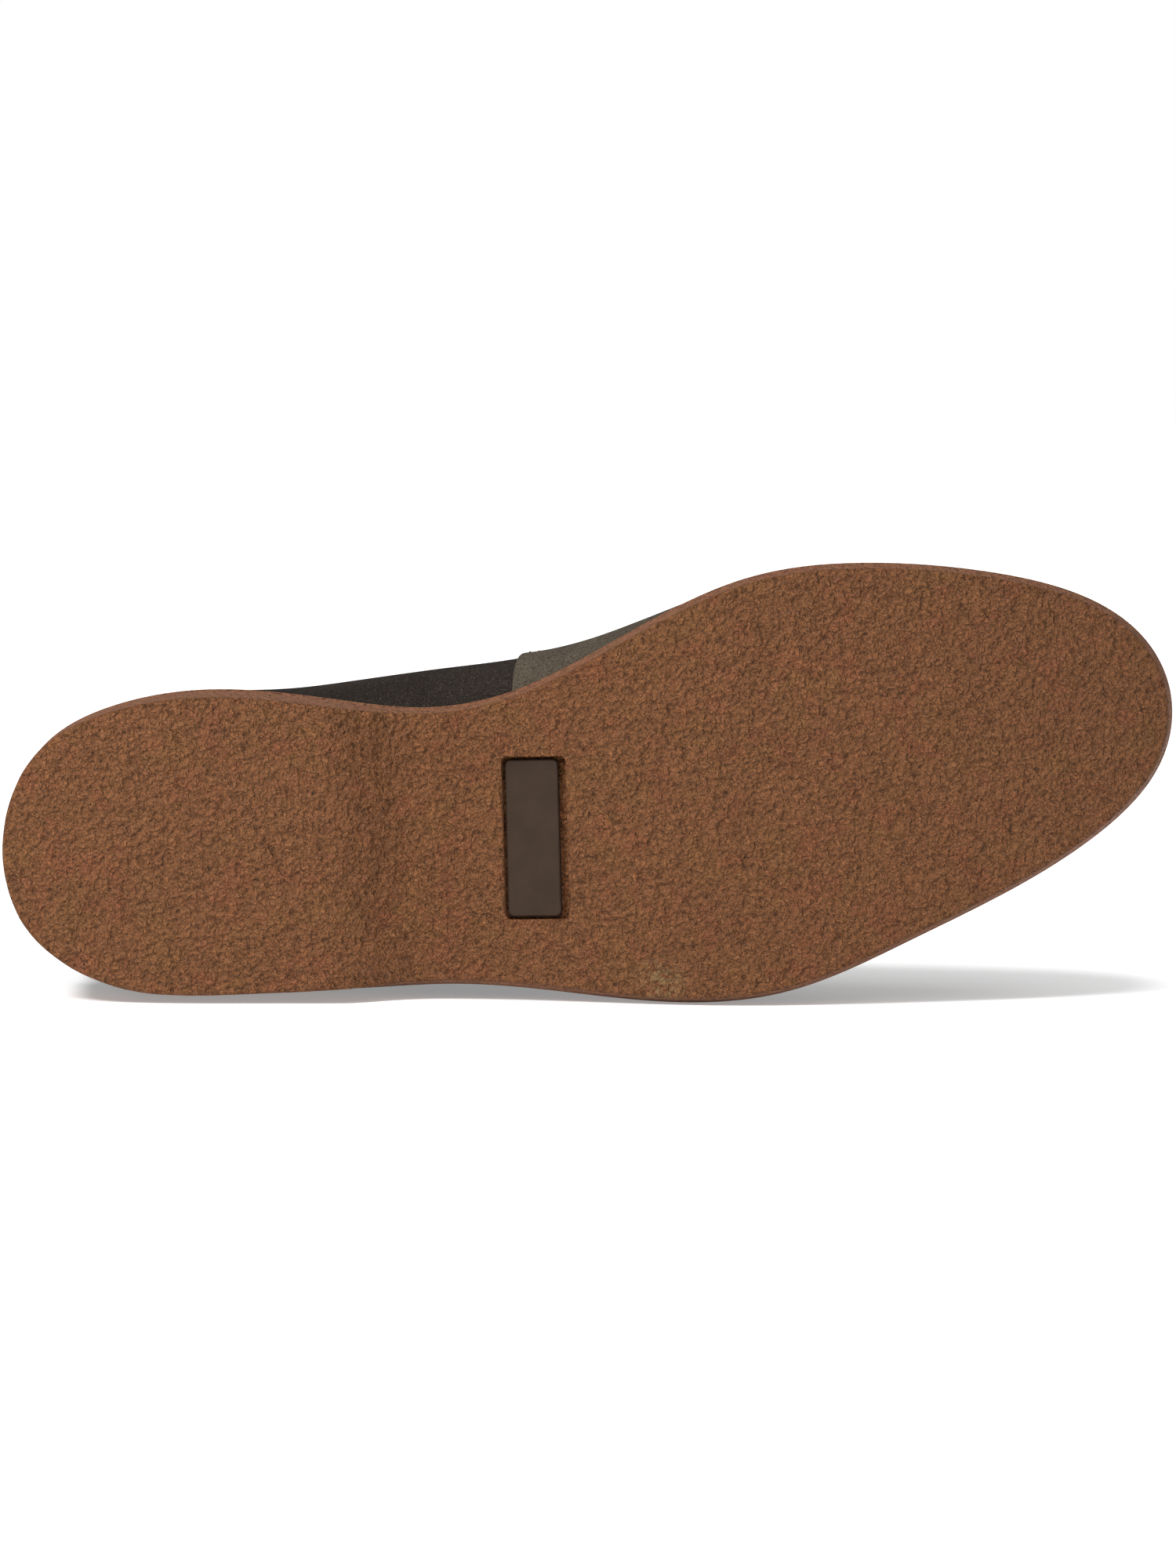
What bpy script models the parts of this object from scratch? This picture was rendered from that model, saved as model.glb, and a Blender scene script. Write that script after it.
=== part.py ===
"""A man's suede loafer for the left foot, lying on its lateral side with its crepe sole to the front.

The shoe is made upright, in its own frame: +X to the toe, +Y to the lateral side, +Z up, with zero at
the back of the sole and on the plane that heel and forefoot stand on. Its parent empty then lays it on
its side, as it comes to rest on a floor, with the toe at +X and the sole facing -Y.
"""

import math

import bmesh
import bpy
import numpy as np
from mathutils import Matrix, Vector

# Driving sizes, in metres
LENGTH = 0.302
BALL_WIDTH = 0.1054
HEEL_WIDTH = 0.078
WAIST_WIDTH = 0.0712
HEEL_THICKNESS = 0.022
FOREFOOT_THICKNESS = 0.0085
TOE_SPRING = 0.011
HEEL_LENGTH = 0.084
BREAST_LENGTH = 0.023
ARCH_RISE = 0.009
FOREFOOT_START = 0.190
TOE_SPRING_START = 0.225
BREAST_SKEW = 0.08
SEAT_SLOPE_START = 0.058
SEAT_SLOPE_END = 0.200

INSTEP_HEIGHT = 0.080
THROAT = 0.152
CONE_HEIGHT = 0.113
TOE_BOX_HEIGHT = 0.046
BACK_HEIGHT = 0.083
QUARTER_HEIGHT = 0.0745
WALL = 0.002
GAP = 0.0003

# The sole's side
FLARE = 0.0014
TREAD_ROUND = 0.0009
RIM_HEIGHT = 0.0024
RIM_ROUND = 0.0005
GROOVE_WIDTH = 0.0010
GROOVE_DEPTH = 0.0008

# The strip between sole and upper, the upper's foot and the insole
RAND_INSET = 0.0004
RAND_COVER = 0.0002
RAND_THICKNESS = 0.0024
RAND_ROUND = 0.0007
UPPER_INSET = 0.0028
INSOLE_THICKNESS = 0.0035
INSOLE_ROUND = 0.0008

# The vamp laps over the quarters at a seam that leans forward as it rises
SEAM_SETBACK = 0.0182
SEAM = THROAT - SEAM_SETBACK
SEAM_LEAN = 0.011
SEAM_REACH = 0.030
LAP = 0.0012
LAP_EDGE = 0.0008
LAP_FADE = 0.015
APRON_HEIGHT = 0.0012
APRON_SETBACK = 0.008
APRON_FADE = 0.010

# The bare plaque in the waist, and its pocket
PLAQUE_SETBACK = 0.0289
PLAQUE_OFFSET = 0.0119
PLAQUE_TURN = 5.5
PLAQUE_WIDTH = 0.0138
PLAQUE_HEIGHT = 0.0402
PLAQUE_THICKNESS = 0.0015
PLAQUE_ROUND = 0.0014
POCKET_DEPTH = 0.0026
POCKET_MARGIN = 0.0007
POCKET_TOE_MARGIN = 0.0022
CUTTER_REACH = 0.009

# The ends of the shoe fan out round a heel centre and a toe centre
HEEL_CENTRE = 0.030
TOE_CENTRE = 0.034
FAN = 0.018
COLUMNS = 44
NEAREST_COLUMN = 0.0022
THROAT_STEPS = (0.0, 0.0005, 0.0018, 0.004, 0.007, 0.0105)

# Densities in kg per cubic metre, which set where the shoe balances
RUBBER = 900
LEATHER = 900
BOARD = 500

# Share of the length, middle of the outline towards the lateral side, half of its width
OUTLINE = (
    (0.00, 0.030 * BALL_WIDTH, 0.0),
    (0.01, 0.028 * BALL_WIDTH, 0.194 * HEEL_WIDTH),
    (0.04, 0.020 * BALL_WIDTH, 0.354 * HEEL_WIDTH),
    (0.10, 0.028 * BALL_WIDTH, 0.471 * HEEL_WIDTH),
    (0.20, 0.043 * BALL_WIDTH, 0.506 * HEEL_WIDTH),
    (0.30, 0.083 * BALL_WIDTH, 0.478 * HEEL_WIDTH),
    (0.37, 0.110 * BALL_WIDTH, 0.503 * WAIST_WIDTH),
    (0.45, 0.122 * BALL_WIDTH, 0.545 * WAIST_WIDTH),
    (0.55, 0.099 * BALL_WIDTH, 0.450 * BALL_WIDTH),
    (0.65, 0.054 * BALL_WIDTH, 0.500 * BALL_WIDTH),
    (0.75, 0.010 * BALL_WIDTH, 0.463 * BALL_WIDTH),
    (0.85, -0.015 * BALL_WIDTH, 0.385 * BALL_WIDTH),
    (0.93, -0.029 * BALL_WIDTH, 0.287 * BALL_WIDTH),
    (0.98, -0.032 * BALL_WIDTH, 0.167 * BALL_WIDTH),
    (1.00, -0.032 * BALL_WIDTH, 0.0),
)

# Share of the length, and the centre line of the upper towards the lateral side
CENTRE_LINE = (
    (0.00, 0.030 * BALL_WIDTH),
    (0.20, 0.040 * BALL_WIDTH),
    (0.40, 0.050 * BALL_WIDTH),
    (0.55, 0.028 * BALL_WIDTH),
    (0.70, -0.008 * BALL_WIDTH),
    (0.85, -0.030 * BALL_WIDTH),
    (1.00, -0.032 * BALL_WIDTH),
)

# Station, and the height of the crown, which behind the throat is only the last's own
VAMP = LENGTH - TOE_CENTRE - THROAT
FALL = INSTEP_HEIGHT - TOE_BOX_HEIGHT
CROWN = (
    (0.0, CONE_HEIGHT),
    (0.400 * THROAT, CONE_HEIGHT),
    (0.675 * THROAT, 0.92 * CONE_HEIGHT),
    (THROAT, INSTEP_HEIGHT),
    (THROAT + 0.25 * VAMP, TOE_BOX_HEIGHT + 0.63 * FALL),
    (THROAT + 0.64 * VAMP, TOE_BOX_HEIGHT + 0.25 * FALL),
    (THROAT + VAMP, TOE_BOX_HEIGHT),
    (LENGTH, 0.88 * TOE_BOX_HEIGHT),
)

# Station, and the height of the topline
TOPLINE = (
    (0.0, BACK_HEIGHT),
    (0.20 * THROAT, 0.60 * BACK_HEIGHT + 0.40 * QUARTER_HEIGHT),
    (0.44 * THROAT, QUARTER_HEIGHT),
    (0.64 * THROAT, 0.995 * QUARTER_HEIGHT),
    (0.83 * THROAT, 0.995 * QUARTER_HEIGHT),
    (THROAT, INSTEP_HEIGHT),
)

# Share of the length, how square the section is (1 is an ellipse), and how far the medial and then the
# lateral side swell out
SECTIONS = (
    (0.00, 1.00, 0.027 * BALL_WIDTH, 0.027 * BALL_WIDTH),
    (0.12, 0.92, 0.028 * BALL_WIDTH, 0.021 * BALL_WIDTH),
    (0.25, 0.86, 0.036 * BALL_WIDTH, 0.038 * BALL_WIDTH),
    (0.38, 0.86, 0.119 * BALL_WIDTH, 0.049 * BALL_WIDTH),
    (0.50, 0.88, 0.076 * BALL_WIDTH, 0.021 * BALL_WIDTH),
    (0.60, 0.82, 0.032 * BALL_WIDTH, 0.019 * BALL_WIDTH),
    (0.80, 0.75, 0.021 * BALL_WIDTH, 0.021 * BALL_WIDTH),
    (1.00, 0.72, 0.021 * BALL_WIDTH, 0.021 * BALL_WIDTH),
)
SWELL_TO_ONE = 6.75

# The sole's skin, from the middle of the tread round the side to the middle of the seat: share of the
# way to the edge, how far the edge is inside the outline, 1 if the height is taken from the seat, height
EDGE = FLARE + TREAD_ROUND
SOLE_SKIN = (
    (0.0, EDGE, 0, 0.0),
    (0.35, EDGE, 0, 0.0),
    (0.7, EDGE, 0, 0.0),
    (0.9, EDGE, 0, 0.0),
    (1.0, EDGE, 0, 0.0),
    (1.0, FLARE + 0.3 * TREAD_ROUND, 0, 0.3 * TREAD_ROUND),
    (1.0, FLARE, 0, TREAD_ROUND),
    (1.0, 0.2 * FLARE, 1, -RIM_HEIGHT - GROOVE_WIDTH),
    (1.0, GROOVE_DEPTH, 1, -RIM_HEIGHT - 0.7 * GROOVE_WIDTH),
    (1.0, GROOVE_DEPTH, 1, -RIM_HEIGHT - 0.3 * GROOVE_WIDTH),
    (1.0, 0.0, 1, -RIM_HEIGHT),
    (1.0, 0.0, 1, -RIM_ROUND),
    (1.0, RIM_ROUND, 1, 0.0),
    (0.5, RIM_ROUND, 1, 0.0),
    (0.0, RIM_ROUND, 1, 0.0),
)

# How far up the upper each ring of points is, as a share of the way to the topline or the crown, the
# ring that is the apron's seam, and the rings that the inside repeats
OUTER_RINGS = (0.0, 0.05, 0.11, 0.19, 0.28, 0.38, 0.49, 0.60, 0.63, 0.66, 0.74, 0.84, 0.93, 1.0)
APRON_RING = 8
INNER_RINGS = (13, 12, 10, 7, 5, 3, 0)
SHARP_ANGLE = 38

# Name, colour, roughness
CREPE = ("crepe_rubber", (0.205, 0.088, 0.043, 1.0), 0.75)
RAND_RUBBER = ("rand_rubber", (0.190, 0.078, 0.042, 1.0), 0.65)
PLAQUE_RUBBER = ("plaque_rubber", (0.072, 0.053, 0.042, 1.0), 0.5)
SUEDE = ("suede", (0.060, 0.050, 0.042, 1.0), 0.95)
SOCK = ("sock_leather", (0.230, 0.120, 0.060, 1.0), 0.6)


def spline(knots, values):
    """The natural cubic curve through these points, as a function."""
    knots = np.asarray(knots, float)
    values = np.asarray(values, float)
    step = np.diff(knots)
    slope = np.diff(values) / step
    system = np.eye(len(knots))
    right = np.zeros(len(knots))
    for i in range(1, len(knots) - 1):
        system[i, i - 1 : i + 2] = step[i - 1], 2 * (step[i - 1] + step[i]), step[i]
        right[i] = 6 * (slope[i] - slope[i - 1])
    bend = np.linalg.solve(system, right)

    def curve(x):
        x = np.clip(x, knots[0], knots[-1])
        i = np.clip(np.searchsorted(knots, x) - 1, 0, len(knots) - 2)
        near = x - knots[i]
        far = knots[i + 1] - x
        bent = (bend[i] * far**3 + bend[i + 1] * near**3) / (6 * step[i])
        from_left = (values[i] / step[i] - bend[i] * step[i] / 6) * far
        from_right = (values[i + 1] / step[i] - bend[i + 1] * step[i] / 6) * near
        return bent + from_left + from_right

    return curve


def smooth(x):
    """Zero below 0, one above 1, and a soft step between."""
    x = np.clip(x, 0.0, 1.0)
    return x * x * (3 - 2 * x)


def column(table, number):
    return [row[number] for row in table]


def turn_of(station):
    """The angle that runs from 0 at the heel to pi at the toe, which keeps both ends round."""
    return np.arccos(np.clip(1 - 2 * np.asarray(station) / LENGTH, -1, 1))


def station_of(turn):
    return LENGTH * (1 - np.cos(turn)) / 2


OUTLINE_TURNS = turn_of(LENGTH * np.array(column(OUTLINE, 0)))
outline_middle = spline(OUTLINE_TURNS, column(OUTLINE, 1))
outline_half = spline(OUTLINE_TURNS, column(OUTLINE, 2))
centre_line = spline(column(CENTRE_LINE, 0), column(CENTRE_LINE, 1))
crown = spline(column(CROWN, 0), column(CROWN, 1))
topline = spline(column(TOPLINE, 0), column(TOPLINE, 1))
squareness = spline(column(SECTIONS, 0), column(SECTIONS, 1))
medial_swell = spline(column(SECTIONS, 0), column(SECTIONS, 2))
lateral_swell = spline(column(SECTIONS, 0), column(SECTIONS, 3))


def outline(turn, side, inset):
    """The sole's outline in plan, moved in by inset. side is 1 on the lateral side and -1 on the medial."""
    small = 1e-4
    ahead = turn + small
    behind = turn - small
    across = outline_middle(turn) + side * outline_half(turn)
    run = station_of(ahead) - station_of(behind)
    rise = (outline_middle(ahead) - outline_middle(behind)) + side * (
        outline_half(ahead) - outline_half(behind)
    )
    run = np.where(np.abs(np.sin(turn)) < small, 0.0, run)
    span = np.hypot(run, rise)
    return station_of(turn) + side * inset * rise / span, across - side * inset * run / span


def centre(turn):
    """The point of the centre line that a column of points fans out from."""
    station = station_of(turn)
    station = HEEL_CENTRE + FAN * np.logaddexp(0, (station - HEEL_CENTRE) / FAN)
    toe = LENGTH - TOE_CENTRE
    station = toe - FAN * np.logaddexp(0, (toe - station) / FAN)
    return station, centre_line(station / LENGTH)


def spring(x):
    """How far the toe turns up."""
    rise = np.clip((x - TOE_SPRING_START) / (LENGTH - TOE_SPRING_START), 0, 1)
    return TOE_SPRING * rise**2


def tread(x, y):
    """Height of the tread: flat heel, breast, arch, flat forefoot and toe spring."""
    x_breast = x + BREAST_SKEW * y
    up = smooth((x_breast - HEEL_LENGTH) / BREAST_LENGTH)
    arch_end = HEEL_LENGTH + BREAST_LENGTH
    down = smooth((x - arch_end) / (FOREFOOT_START - arch_end))
    return ARCH_RISE * up * (1 - down) + spring(x)


def seat(x):
    """Height of the sole's upper face, which carries rand, upper and insole."""
    fall = smooth((x - SEAT_SLOPE_START) / (SEAT_SLOPE_END - SEAT_SLOPE_START))
    return HEEL_THICKNESS + (FOREFOOT_THICKNESS - HEEL_THICKNESS) * fall + spring(x)


def foot(x):
    """Height of the upper's lower edge."""
    return seat(x) + GAP + RAND_THICKNESS + GAP


def near_any(station, stations):
    if station < NEAREST_COLUMN or station > LENGTH - NEAREST_COLUMN:
        return False
    return any(abs(station - other) < NEAREST_COLUMN for other in stations)


def columns():
    """Turns and sides of the columns, from the toe round the lateral side to the heel and back."""
    breast = [HEEL_LENGTH + BREAST_LENGTH * share for share in (0.0, 0.25, 0.5, 0.75, 1.0)]
    seam = [SEAM - LAP_EDGE / 2, SEAM + LAP_EDGE / 2]
    throat_base = THROAT - SEAM_LEAN * math.exp(-(((THROAT - SEAM) / SEAM_REACH) ** 2))
    near_throat = [throat_base - back for back in THROAT_STEPS]
    stations = breast + seam + near_throat + [FOREFOOT_START, TOE_SPRING_START]
    even = np.linspace(0, math.pi, COLUMNS + 1)
    kept = [turn for turn in even if not near_any(station_of(turn), stations)]
    turns = np.array(sorted(kept + [float(turn_of(s)) for s in stations]))
    side = np.concatenate([np.ones(len(turns)), -np.ones(len(turns) - 2)])
    return np.concatenate([turns[::-1], turns[1:-1]]), side


def sole_ring(share, inset, height):
    """One ring of points, at a share of the way from the centre line to the outline."""
    turn, side = columns()
    x, y = outline(turn, side, inset)
    centre_x, centre_y = centre(turn)
    x = centre_x + share * (x - centre_x)
    y = centre_y + share * (y - centre_y)
    return np.column_stack([x, y, height(x, y)])


def material(finish):
    name, colour, roughness = finish
    made = bpy.data.materials.new(name)
    made.use_nodes = True
    made.diffuse_color = colour
    shader = made.node_tree.nodes["Principled BSDF"]
    shader.inputs["Base Color"].default_value = colour
    shader.inputs["Roughness"].default_value = roughness
    shader.inputs["Metallic"].default_value = 0.0
    return made


def add_object(name, mesh, finish):
    mesh.materials.append(material(finish))
    mesh.shade_smooth()
    mesh.set_sharp_from_angle(angle=math.radians(SHARP_ANGLE))
    obj = bpy.data.objects.new(name, mesh)
    bpy.context.scene.collection.objects.link(obj)
    return obj


def loft(name, rings, joined, around, finish):
    """A closed skin over rings of points. Where joined says so, a medial point is its lateral twin."""
    count = len(rings[0])
    index = np.arange(len(rings) * count).reshape(len(rings), count)
    twin = (count - np.arange(count)) % count
    for k, mask in enumerate(joined):
        medial = (np.arange(count) > count // 2) & mask
        index[k, medial] = index[k, twin[medial]]
    faces = []
    for k in range(len(rings) if around else len(rings) - 1):
        after = (k + 1) % len(rings)
        for j in range(count):
            beside = (j + 1) % count
            if min(joined[k][[j, beside]].min(), joined[after][[j, beside]].min()):
                continue
            corners = [index[k, j], index[k, beside], index[after, beside], index[after, j]]
            faces.append([int(c) for c in dict.fromkeys(corners)])
    shape = bmesh.new()
    points = [shape.verts.new(point) for point in np.concatenate(rings)]
    for corners in faces:
        shape.faces.new([points[c] for c in corners])
    bmesh.ops.delete(shape, geom=[p for p in points if not p.link_faces], context="VERTS")
    bmesh.ops.recalc_face_normals(shape, faces=shape.faces[:])
    mesh = bpy.data.meshes.new(name)
    shape.to_mesh(mesh)
    shape.free()
    return add_object(name, mesh, finish)


def plate(name, rings, finish):
    """A loft that ends on the centre line above and below."""
    open_ring = np.zeros(len(rings[0]), bool)
    closed_ring = ~open_ring
    joined = [closed_ring] + [open_ring] * (len(rings) - 2) + [closed_ring]
    return loft(name, rings, joined, False, finish)


def skin_height(from_seat, lift):
    if from_seat:
        return lambda x, y: seat(x) + lift
    return lambda x, y: tread(x, y) + lift


def add_outsole():
    """Tread, rounded edge, flared side, groove, rim and seat."""
    rings = [
        sole_ring(share, inset, skin_height(from_seat, lift))
        for share, inset, from_seat, lift in SOLE_SKIN
    ]
    sole = plate("outsole", rings, CREPE)
    cut = sole.modifiers.new("pocket", "BOOLEAN")
    cut.operation = "DIFFERENCE"
    cut.object = add_pocket_cutter()
    return sole


def plaque_place():
    """Where the plaque's pocket opens, level with the tread round it, its own +Z out of the tread."""
    step = 0.001
    x = HEEL_LENGTH + BREAST_LENGTH + PLAQUE_SETBACK
    y = PLAQUE_OFFSET
    slope = (float(tread(x + step, y)) - float(tread(x - step, y))) / (2 * step)
    flip = Matrix.Rotation(math.pi, 4, "X")
    tilt = Matrix.Rotation(-math.atan(slope), 4, "Y")
    turn = Matrix.Rotation(math.radians(PLAQUE_TURN), 4, "Z")
    return Matrix.Translation((x, y, float(tread(x, y)))) @ turn @ tilt @ flip


def rounded_box(name, size, low, high, radius, finish):
    """A box from low to high, width along X and height along Y, with its four upright edges rounded."""
    shape = bmesh.new()
    bmesh.ops.create_cube(shape, size=1.0)
    for point in shape.verts:
        point.co.x *= size[0]
        point.co.y *= size[1]
        point.co.z = high if point.co.z > 0 else low
    upright = [e for e in shape.edges if abs(e.verts[0].co.z - e.verts[1].co.z) > 0.5 * (high - low)]
    bmesh.ops.bevel(shape, geom=upright, offset=radius, segments=4, profile=0.5, affect="EDGES")
    mesh = bpy.data.meshes.new(name)
    shape.to_mesh(mesh)
    shape.free()
    return add_object(name, mesh, finish)


def add_pocket_cutter():
    width = PLAQUE_WIDTH + POCKET_MARGIN + POCKET_TOE_MARGIN
    height = PLAQUE_HEIGHT + 2 * POCKET_MARGIN
    cutter = rounded_box(
        "pocket_cutter", (width, height), -POCKET_DEPTH, CUTTER_REACH, PLAQUE_ROUND, CREPE
    )
    middle = (POCKET_TOE_MARGIN - POCKET_MARGIN) / 2
    cutter.matrix_world = plaque_place() @ Matrix.Translation((middle, 0, 0))
    cutter.hide_render = True
    cutter.display_type = "WIRE"
    return cutter


def add_plaque():
    bottom = GAP - POCKET_DEPTH
    plaque = rounded_box(
        "badge_plate",
        (PLAQUE_WIDTH, PLAQUE_HEIGHT),
        bottom,
        bottom + PLAQUE_THICKNESS,
        PLAQUE_ROUND,
        PLAQUE_RUBBER,
    )
    plaque.matrix_world = plaque_place()
    return plaque


def add_rand():
    """A ring with rounded outer corners, on the seat and under the upper's edge."""

    def above_seat(lift):
        return lambda x, y: seat(x) + GAP + lift

    inner = UPPER_INSET + WALL + RAND_COVER
    rows = [
        (inner, above_seat(0.0)),
        (RAND_INSET + RAND_ROUND, above_seat(0.0)),
        (RAND_INSET, above_seat(RAND_ROUND)),
        (RAND_INSET, above_seat(RAND_THICKNESS - RAND_ROUND)),
        (RAND_INSET + RAND_ROUND, above_seat(RAND_THICKNESS)),
        (inner, above_seat(RAND_THICKNESS)),
    ]
    rings = [sole_ring(1.0, inset, height) for inset, height in rows]
    never = np.zeros(len(rings[0]), bool)
    return loft("rand", rings, [never] * len(rings), True, RAND_RUBBER)


def add_insole():
    edge = UPPER_INSET + WALL + RAND_COVER + GAP

    def above_seat(lift):
        return lambda x, y: seat(x) + GAP + lift

    top = INSOLE_THICKNESS
    rows = [
        (0.0, edge, above_seat(0.0)),
        (1.0, edge, above_seat(0.0)),
        (1.0, edge, above_seat(top - INSOLE_ROUND)),
        (1.0, edge + INSOLE_ROUND, above_seat(top)),
        (0.5, edge + INSOLE_ROUND, above_seat(top)),
        (0.0, edge + INSOLE_ROUND, above_seat(top)),
    ]
    return plate("insole", [sole_ring(*row) for row in rows], SOCK)


def upper_point(turn, side, angle):
    """A point of the last's surface. angle is 0 at the sole and pi/2 on the crown."""
    foot_x, foot_y = outline(turn, side, UPPER_INSET)
    centre_x, centre_y = centre(turn)
    reach = np.hypot(foot_x - centre_x, foot_y - centre_y)
    share = station_of(turn) / LENGTH
    power = squareness(share)
    rise = np.sin(angle) ** power
    swell = np.where(side > 0, lateral_swell(share), medial_swell(share))
    out = reach * np.clip(np.cos(angle), 0, 1) ** power + swell * SWELL_TO_ONE * rise * (1 - rise) ** 2
    x = centre_x + (foot_x - centre_x) / reach * out
    y = centre_y + (foot_y - centre_y) / reach * out
    base = foot(foot_x)
    return np.column_stack([x, y, base + (crown(x) - base) * rise])


def top_angle(turn):
    """The angle at the topline, and pi/2 in front of the throat, where both sides meet."""
    station = station_of(turn)
    centre_x, _ = centre(turn)
    base = foot(station)
    rise = (topline(station) - base) / (crown(centre_x) - base)
    angle = np.arcsin(np.clip(rise, 0, 1) ** (1 / squareness(station / LENGTH)))
    return np.where(station >= THROAT, math.pi / 2, angle)


def leaned(turn, share):
    """The columns near the side seam lean forward as they rise, so one of them is the seam."""
    station = station_of(turn)
    lean = SEAM_LEAN * share * np.exp(-(((station - SEAM) / SEAM_REACH) ** 2))
    return turn_of(station + lean)


def surface_normals(grid):
    """Outward normals of a grid of rings."""
    up = np.gradient(grid, axis=0)
    along = np.roll(grid, -1, axis=1) - np.roll(grid, 1, axis=1)
    normal = np.cross(along, up)
    return normal / np.maximum(np.linalg.norm(normal, axis=2, keepdims=True), 1e-12)


def add_upper():
    """Quarters and vamp as one hollow wall, with the lap step and the apron's raised seam outside."""
    turn, side = columns()
    top = top_angle(leaned(turn, 1.0))
    closed = leaned(turn, 1.0) >= turn_of(THROAT) - 1e-6
    top = np.where(closed, math.pi / 2, top)
    grid = np.stack([upper_point(leaned(turn, r), side, r * top) for r in OUTER_RINGS])
    normal = surface_normals(grid)
    count = len(turn)
    twin = (count - np.arange(count)) % count
    mean = normal[-2] + normal[-2][twin]
    mean /= np.linalg.norm(mean, axis=1, keepdims=True)
    normal[-1] = np.where(closed[:, None], mean, normal[-2])

    ahead = station_of(turn) - SEAM
    lap = np.where(ahead > 0, LAP * np.exp(-np.maximum(ahead, 0) / LAP_FADE), 0.0)
    lift = np.repeat(lap[None], len(OUTER_RINGS), axis=0)
    lift[APRON_RING] += APRON_HEIGHT * smooth((station_of(turn) - THROAT + APRON_SETBACK) / APRON_FADE)
    outer = grid + normal * lift[:, :, None]
    inner = grid - normal * WALL
    for wall in (outer, inner):
        wall[0, :, 2] = foot(wall[0, :, 0])
    rings = list(outer) + [inner[k] for k in INNER_RINGS]
    never = np.zeros(count, bool)
    joined = [never] * len(rings)
    joined[len(OUTER_RINGS) - 1] = closed
    joined[len(OUTER_RINGS)] = closed
    return loft("upper", rings, joined, True, SUEDE)


def weight_and_centre(obj, density):
    """The mass of a closed mesh and its centre, from the tetrahedra under its triangles."""
    obj.data.calc_loop_triangles()
    points = np.array([v.co[:] for v in obj.data.vertices])
    corners = points[[list(t.vertices) for t in obj.data.loop_triangles]]
    volume = np.einsum("ij,ij->i", corners[:, 0], np.cross(corners[:, 1], corners[:, 2])) / 6
    mass = density * volume.sum()
    middle = (corners.sum(axis=1) / 4 * volume[:, None]).sum(axis=0) / volume.sum()
    return mass, middle


def side_it_rests_on(points, balance):
    """The outward normal of the flat of the shoe's hull that it lies on, lateral side down."""
    hull = bmesh.new()
    for point in points:
        hull.verts.new(point)
    bmesh.ops.convex_hull(hull, input=hull.verts[:])
    best = None
    for face in hull.faces:
        face.normal_update()
        normal = face.normal
        if normal.dot(face.calc_center_median() - balance) < 0:
            normal = -normal
        inside = True
        for before, after in zip(face.verts[:], face.verts[1:] + face.verts[:1]):
            along = after.co - before.co
            middle = face.calc_center_median()
            facing = normal.cross(along)
            if facing.dot(middle - before.co) < 0:
                facing = -facing
            inside = inside and facing.dot(balance - before.co) > 0
        if inside and (best is None or normal.y > best.y):
            best = normal.copy()
    hull.free()
    return best


def lay_on_side(pieces):
    """Parents the pieces to an empty that lays the shoe down, centred over the origin."""
    weights = [weight_and_centre(obj, density) for obj, density in pieces]
    total = sum(mass for mass, _ in weights)
    balance = Vector(sum(mass * middle for mass, middle in weights) / total)
    points = np.array([v.co[:] for obj, _ in pieces for v in obj.data.vertices])
    down = side_it_rests_on(points, balance)
    up = -down
    forward = Vector((1, 0, 0))
    forward = (forward - forward.dot(up) * up).normalized()
    back = up.cross(forward)
    turn = Matrix((forward, back, up))
    placed = points @ np.array(turn).T
    low = placed.min(axis=0)
    high = placed.max(axis=0)
    shift = Vector((-(low[0] + high[0]) / 2, -(low[1] + high[1]) / 2, -low[2]))
    rest = bpy.data.objects.new("rest", None)
    bpy.context.scene.collection.objects.link(rest)
    rest.matrix_world = Matrix.Translation(shift) @ turn.to_4x4()
    return rest


def main():
    for obj in list(bpy.data.objects):
        bpy.data.objects.remove(obj, do_unlink=True)
    outsole = add_outsole()
    plaque = add_plaque()
    rand = add_rand()
    insole = add_insole()
    upper = add_upper()
    pieces = [(outsole, RUBBER), (rand, RUBBER), (insole, BOARD), (upper, LEATHER)]
    rest = lay_on_side(pieces)
    for obj in (outsole, plaque, rand, insole, upper, outsole.modifiers["pocket"].object):
        obj.parent = rest
    bpy.context.view_layer.update()


main()
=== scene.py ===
"""Looks of a man's left suede loafer, lying on its lateral side with its crepe sole to the camera.

Surfaces are computed in the shoe's own frame, as the part's source does it: +X to the toe, +Y to the
lateral side, +Z up, zero at the back of the sole. REST then lays them down where the solids lie.
"""

import math

import bmesh
import bpy
import numpy as np
from mathutils import Matrix, Vector, noise


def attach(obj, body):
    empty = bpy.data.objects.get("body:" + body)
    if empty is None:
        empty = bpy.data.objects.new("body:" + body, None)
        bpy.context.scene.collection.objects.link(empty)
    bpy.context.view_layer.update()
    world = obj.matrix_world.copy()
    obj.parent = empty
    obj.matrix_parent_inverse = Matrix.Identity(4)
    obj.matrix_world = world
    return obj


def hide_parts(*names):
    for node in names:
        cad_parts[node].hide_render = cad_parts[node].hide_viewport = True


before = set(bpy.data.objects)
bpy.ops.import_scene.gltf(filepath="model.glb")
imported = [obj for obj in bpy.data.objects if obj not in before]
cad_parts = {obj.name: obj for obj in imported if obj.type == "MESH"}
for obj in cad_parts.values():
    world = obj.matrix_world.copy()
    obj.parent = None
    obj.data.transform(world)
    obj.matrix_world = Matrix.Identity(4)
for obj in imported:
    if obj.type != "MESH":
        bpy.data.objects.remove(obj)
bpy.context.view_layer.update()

# The part's driving sizes, in metres
LENGTH = 0.302
BALL_WIDTH = 0.1054
HEEL_WIDTH = 0.078
WAIST_WIDTH = 0.0712
HEEL_THICKNESS = 0.022
FOREFOOT_THICKNESS = 0.0085
TOE_SPRING = 0.011
HEEL_LENGTH = 0.084
BREAST_LENGTH = 0.023
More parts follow.
